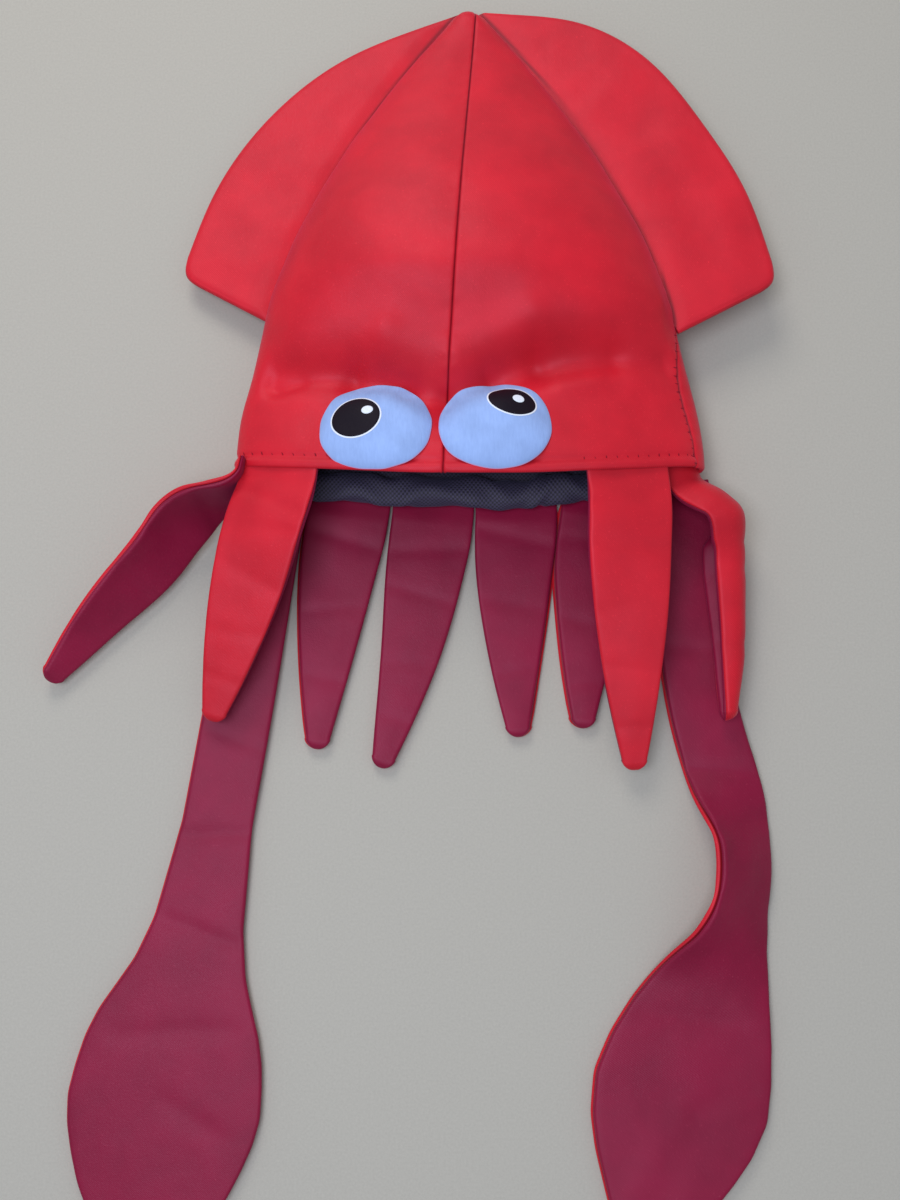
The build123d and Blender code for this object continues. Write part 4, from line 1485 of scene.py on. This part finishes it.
def make_back_band():
    """The loose edge of the lining, rolled over the roots of the back arms."""
    left_end, right_end = -118 * MM, 126 * MM
    half_deep, half_high, middle_z = 9.0 * MM, 4.6 * MM, 12.1 * MM
    places, spokes = 160, 20
    x = np.linspace(left_end, right_end, places)
    a = np.linspace(0, 2 * math.pi, spokes, endpoint=False)
    wave = ripple(x, 0 * x, 42 * MM, 13)
    other = ripple(x, 0 * x, 23 * MM, 17)
    ends = np.sqrt(np.clip(1 - np.abs(np.linspace(-1, 1, places)) ** 10, 0.004, 1))
    radius_y = (half_deep + 1.3 * MM * other) * ends
    radius_z = (half_high + 0.8 * MM * wave) * ends
    centre_y = hem_y(x) + 0.4 * MM + 1.7 * MM * wave
    centre_z = middle_z + 0.7 * MM * other
    crumple = 1 + 0.10 * np.sin(3 * a[None, :] + 5 * wave[:, None])
    points = np.stack([
        x[:, None] + 0 * a,
        centre_y[:, None] + radius_y[:, None] * crumple * np.cos(a),
        centre_z[:, None] + radius_z[:, None] * crumple * np.sin(a),
    ], axis=-1)
    faces = quads(places, spokes, closed=True)
    faces.append(list(range(spokes)))
    faces.append([(places - 1) * spokes + j for j in reversed(range(spokes))])
    around = a[None, :] * 7 * MM + 0 * x[:, None]
    uv = np.stack([x[:, None] + 0 * around, around], axis=-1).reshape(-1, 2)
    obj = new_mesh("hem_band_back_roll", points.reshape(-1, 3), faces, "mesh_lining", uv)
    place(obj, "mantle", "hem_tape", "hem_band_back")


def make_front_band():
    """The band of lining under the front hem."""
    c = settings().crown
    inside, band_width, thickness = 2.5 * MM, 13 * MM, 0.9 * MM
    points, _, cloth = gore_grid("right", "left", 24, 110, c.wall + 1.3 * MM)
    edge = hem_y(points[0, :, 0]) + inside
    for i, share_ in enumerate(np.linspace(0, 1, points.shape[0])):
        points[i, :, 1] = edge + band_width * share_
        points[i, :, 0] = points[0, :, 0]
        points[i, :, 2] = points[0, :, 2]
    normals = outward(points, grid_normals(points))
    sheet, faces = shell(points, normals, thickness, 5)
    uv = both_faces(cloth, len(sheet)).reshape(-1, 2)
    obj = new_mesh("hem_band_front_tape", sheet.reshape(-1, 3), faces, "mesh_lining", uv)
    place(obj, "mantle", "hem_tape", "hem_band_front")


# ------------------------------------------------------------------ stitches

def stitch_tree():
    """Geometry nodes that lay stitches along an edge path."""
    found = bpy.data.node_groups.get("Stitches")
    if found:
        return found
    tree = bpy.data.node_groups.new("Stitches", "GeometryNodeTree")
    face = tree.interface
    face.new_socket("Geometry", in_out="INPUT", socket_type="NodeSocketGeometry")
    for name in ("Spacing", "Stitch Length", "Thickness", "Least Slant", "Most Slant"):
        face.new_socket(name, in_out="INPUT", socket_type="NodeSocketFloat")
    face.new_socket("Seed", in_out="INPUT", socket_type="NodeSocketInt")
    face.new_socket("Thread", in_out="INPUT", socket_type="NodeSocketMaterial")
    face.new_socket("Geometry", in_out="OUTPUT", socket_type="NodeSocketGeometry")
    nodes = tree.nodes
    given, out = nodes.new("NodeGroupInput"), nodes.new("NodeGroupOutput")
    curve = nodes.new("GeometryNodeMeshToCurve")
    along = nodes.new("GeometryNodeCurveToPoints")
    along.mode = "LENGTH"
    bead = nodes.new("GeometryNodeMeshUVSphere")
    bead.inputs["Segments"].default_value = 6
    bead.inputs["Rings"].default_value = 5
    bead.inputs["Radius"].default_value = 0.5
    turn = nodes.new("FunctionNodeAlignRotationToVector")
    turn.axis = "X"
    slant, vary = nodes.new("FunctionNodeRandomValue"), nodes.new("FunctionNodeRandomValue")
    slant.data_type = vary.data_type = "FLOAT"
    vary.inputs[2].default_value = 0.75
    vary.inputs[3].default_value = 1.2
    spin = nodes.new("FunctionNodeRotateRotation")
    spin.rotation_space = "LOCAL"
    angle = nodes.new("FunctionNodeAxisAngleToRotation")
    angle.inputs["Axis"].default_value = (0, 0, 1)
    size = nodes.new("ShaderNodeCombineXYZ")
    scaled = nodes.new("ShaderNodeVectorMath")
    scaled.operation = "SCALE"
    spots = nodes.new("GeometryNodeInstanceOnPoints")
    real = nodes.new("GeometryNodeRealizeInstances")
    paint = nodes.new("GeometryNodeSetMaterial")
    for start, leaving, end, arriving in (
        (given, "Geometry", curve, 0),
        (curve, 0, along, 0),
        (given, "Spacing", along, "Length"),
        (along, "Points", spots, "Points"),
        (bead, "Mesh", spots, "Instance"),
        (along, "Tangent", turn, "Vector"),
        (given, "Least Slant", slant, 2),
        (given, "Most Slant", slant, 3),
        (given, "Seed", slant, "Seed"),
        (given, "Seed", vary, "Seed"),
        (slant, 1, angle, "Angle"),
        (turn, "Rotation", spin, "Rotation"),
        (angle, "Rotation", spin, "Rotate By"),
        (spin, "Rotation", spots, "Rotation"),
        (given, "Stitch Length", size, "X"),
        (given, "Thickness", size, "Y"),
        (given, "Thickness", size, "Z"),
        (size, 0, scaled, 0),
        (vary, 1, scaled, "Scale"),
        (scaled, 0, spots, "Scale"),
        (spots, 0, real, 0),
        (real, 0, paint, "Geometry"),
        (given, "Thread", paint, "Material"),
        (paint, 0, out, 0),
    ):
        tree.links.new(start.outputs[leaving], end.inputs[arriving])
    return tree


def stitched(name, paths, spacing, stitch, slant):
    """Lay slanting stitches along paths and keep them as one plain piece on the crown."""
    st = settings().stitches
    uneven = 0.2
    values = {
        "Spacing": spacing, "Stitch Length": stitch, "Thickness": st.thickness,
        "Least Slant": slant - uneven, "Most Slant": slant + uneven, "Seed": st.seed,
        "Thread": material("thread"),
    }
    verts, edges = [], []
    for path in paths:
        start = len(verts)
        verts += [tuple(p) for p in path]
        edges += [(start + i, start + i + 1) for i in range(len(path) - 1)]
    mesh = bpy.data.meshes.new(name + "_path")
    mesh.from_pydata(verts, edges, [])
    line = link(bpy.data.objects.new(name + "_path", mesh))
    modifier = line.modifiers.new("Stitches", "NODES")
    modifier.node_group = stitch_tree()
    for item in modifier.node_group.interface.items_tree:
        if item.in_out == "INPUT" and item.name in values:
            modifier[item.identifier] = values[item.name]
    bpy.context.view_layer.update()
    graph = bpy.context.evaluated_depsgraph_get()
    plain = bpy.data.meshes.new_from_object(line.evaluated_get(graph))
    line.modifiers.remove(modifier)
    bpy.data.objects.remove(line)
    if not plain.polygons:
        raise RuntimeError(f"{name}: no stitches were made")
    plain.name = name
    plain.polygons.foreach_set("use_smooth", np.ones(len(plain.polygons), bool))
    place(link(bpy.data.objects.new(name, plain)), "mantle", "red_satin")


def side_seam_path(name, y0, y1, over, inward):
    """A path on the cloth of one crown panel, beside the seam that it starts at."""
    points, normals, away, _ = crown_surface(name)
    half = away.shape[1] // 2
    place_y = points[:, 0, 1]
    path = []
    for i in np.where((place_y > y0 * MM) & (place_y < y1 * MM))[0]:
        beside = int(np.argmin(np.abs(away[i, :half] - inward * MM)))
        path.append(points[i, beside] + normals[i, beside] * over * MM)
    return path


def hem_path(name, inside, over, keep):
    """A path along the hem of one crown panel."""
    points, normals, _, _ = crown_surface(name)
    middle = points[:, 40, 1]
    row = int(np.argmin(np.abs(middle - middle[0] - inside * MM)))
    path = points[row] + normals[row] * over * MM
    return [p for p in path if keep[0] * MM <= p[0] <= keep[1] * MM]


# ------------------------------------------------------------------ stage

def area_light(name, place_, target, size, power, tint):
    """A soft rectangular lamp aimed at a point."""
    lamp = bpy.data.lights.new(name, "AREA")
    lamp.shape = "RECTANGLE"
    lamp.size, lamp.size_y = size
    lamp.energy = power
    lamp.color = tint
    obj = bpy.data.objects.new(name, lamp)
    obj.location = place_
    aim = Vector(target) - Vector(place_)
    obj.rotation_euler = aim.to_track_quat("-Z", "Y").to_euler()
    link(obj)


def make_stage():
    """Plain pale floor, soft lamps and the camera."""
    s, just_under = 6.0, -0.4 * MM
    mesh = bpy.data.meshes.new("floor")
    mesh.from_pydata([(-s, -s, 0), (s, -s, 0), (s, s, 0), (-s, s, 0)], [], [(0, 1, 2, 3)])
    mesh.materials.append(material("pale_floor"))
    floor = bpy.data.objects.new("floor", mesh)
    floor.location = (0, 0, just_under)
    link(floor)
    world = bpy.data.worlds.new("Studio")
    world.use_nodes = True
    back = world.node_tree.nodes["Background"]
    back.inputs["Color"].default_value = (0.88, 0.94, 1.0, 1.0)
    back.inputs["Strength"].default_value = 0.42
    bpy.context.scene.world = world
    area_light("key", (-0.3, 1.0, 0.95), (0, 0, 0.02), (0.6, 0.6), 7.2, (1.0, 0.95, 0.88))
    area_light("window", (-0.3, -0.3, 1.35), (-0.05, 0, 0), (0.8, 0.5), 11.0, (0.84, 0.89, 1.0))
    bpy.context.scene.view_settings.view_transform = "Standard"
    camera = bpy.data.cameras.new("camera")
    camera.lens = 38.7
    camera.sensor_width = 36.0
    camera.sensor_fit = "AUTO"
    camera.dof.use_dof = False
    view = bpy.data.objects.new("camera", camera)
    view.location = (-0.012, -0.2023, 0.7731)
    aim = Vector((-0.012, -0.066, 0.0)) - view.location
    view.rotation_euler = aim.to_track_quat("-Z", "Y").to_euler()
    bpy.context.scene.camera = link(view)


# ------------------------------------------------------------------ operators

class SQUID_OT_crown(bpy.types.Operator):
    """Make the four foam cloth panels of the crown"""
    bl_idname = "squid.crown"
    bl_label = "Crown"
    bl_options = {"REGISTER", "UNDO"}

    def execute(self, context):
        for name in GORES:
            make_gore(name)
        return {"FINISHED"}


class SQUID_OT_lining(bpy.types.Operator):
    """Make the mesh lining and its bands at the hem"""
    bl_idname = "squid.lining"
    bl_label = "Lining"
    bl_options = {"REGISTER", "UNDO"}

    def execute(self, context):
        make_lining("lining_front", "right", "left")
        make_lining("lining_back", "left", "right")
        make_front_band()
        make_back_band()
        return {"FINISHED"}


class SQUID_OT_fins(bpy.types.Operator):
    """Make the two fins at the side seams"""
    bl_idname = "squid.fins"
    bl_label = "Fins"
    bl_options = {"REGISTER", "UNDO"}

    def execute(self, context):
        make_fin("left")
        make_fin("right")
        return {"FINISHED"}


class SQUID_OT_eyes(bpy.types.Operator):
    """Make the two stuffed felt eyes"""
    bl_idname = "squid.eyes"
    bl_label = "Eyes"
    bl_options = {"REGISTER", "UNDO"}

    def execute(self, context):
        make_eye("left")
        make_eye("right")
        return {"FINISHED"}


class SQUID_OT_front_arms(bpy.types.Operator):
    """Make the two red arms that hang over the opening"""
    bl_idname = "squid.front_arms"
    bl_label = "Front Arms"
    bl_options = {"REGISTER", "UNDO"}

    def execute(self, context):
        for name in FRONT_ARMS:
            front_arm(name)
        return {"FINISHED"}


class SQUID_OT_back_arms(bpy.types.Operator):
    """Make the four arms that lie flat from the back hem"""
    bl_idname = "squid.back_arms"
    bl_label = "Back Arms"
    bl_options = {"REGISTER", "UNDO"}

    def execute(self, context):
        for name in BACK_ARMS:
            back_arm(name)
        return {"FINISHED"}


class SQUID_OT_side_arms(bpy.types.Operator):
    """Make the two arms at the corners of the hem"""
    bl_idname = "squid.side_arms"
    bl_label = "Side Arms"
    bl_options = {"REGISTER", "UNDO"}

    def execute(self, context):
        for name in SIDE_ARMS:
            side_arm(name)
        return {"FINISHED"}


class SQUID_OT_tentacles(bpy.types.Operator):
    """Make the two long tentacles with their clubs"""
    bl_idname = "squid.tentacles"
    bl_label = "Tentacles"
    bl_options = {"REGISTER", "UNDO"}

    def execute(self, context):
        tentacle("left")
        tentacle("right")
        return {"FINISHED"}


class SQUID_OT_stitches(bpy.types.Operator):
    """Sew the hem and the right side seam"""
    bl_idname = "squid.stitches"
    bl_label = "Stitches"
    bl_options = {"REGISTER", "UNDO"}

    def execute(self, context):
        st = settings().stitches
        hem = [
            hem_path("crown_front_left", 6.2, 0.1, (-134, -60)),
            hem_path("crown_front_right", 6.2, 0.1, (62, 132)),
        ]
        stitched("hem_stitches", hem, st.hem_spacing, st.hem_stitch, 1.15)
        seam = [side_seam_path("crown_front_right", 8, 96, 0.1, 1.9)]
        stitched("side_seam_stitches", seam, st.seam_spacing, st.seam_stitch, 1.3)
        return {"FINISHED"}


class SQUID_OT_stage(bpy.types.Operator):
    """Make the floor, the lamps and the camera"""
    bl_idname = "squid.stage"
    bl_label = "Stage"
    bl_options = {"REGISTER", "UNDO"}

    def execute(self, context):
        make_stage()
        return {"FINISHED"}


class SQUID_PT_panel(bpy.types.Panel):
    """Sizes and steps of the squid hat"""
    bl_idname = "SQUID_PT_panel"
    bl_label = "Squid Hat"
    bl_space_type = "VIEW_3D"
    bl_region_type = "UI"
    bl_category = "Squid Hat"

    def draw(self, context):
        layout = self.layout
        for group in ("crown", "arms", "tentacles", "fins", "eyes", "stitches", "colours"):
            box = layout.box()
            box.label(text=group.capitalize())
            values = getattr(context.scene.squid_hat, group)
            for key in values.__annotations__:
                box.prop(values, key)
        for step in STEPS:
            layout.operator(step.bl_idname)


GROUPS = (
    SquidCrownSizes, SquidArmSizes, SquidTentacleSizes, SquidFinSizes, SquidEyeSizes,
    SquidStitchSizes, SquidColours, SquidHatSettings,
)
STEPS = (
    SQUID_OT_crown, SQUID_OT_lining, SQUID_OT_fins, SQUID_OT_eyes, SQUID_OT_front_arms,
    SQUID_OT_back_arms, SQUID_OT_side_arms, SQUID_OT_tentacles, SQUID_OT_stitches,
    SQUID_OT_stage,
)


def register():
    for item in (*GROUPS, *STEPS, SQUID_PT_panel):
        bpy.utils.register_class(item)
    bpy.types.Scene.squid_hat = PointerProperty(
        type=SquidHatSettings, name="Squid Hat", description="Sizes and colours of the hat"
    )


def unregister():
    del bpy.types.Scene.squid_hat
    for item in reversed((*GROUPS, *STEPS, SQUID_PT_panel)):
        bpy.utils.unregister_class(item)


def main():
    """Make the whole hat."""
    register()
    for step in STEPS:
        group, name = step.bl_idname.split(".")
        result = getattr(getattr(bpy.ops, group), name)()
        if result != {"FINISHED"}:
            raise RuntimeError(f"{step.bl_label} did not finish")


if __name__ == "__main__":
    main()
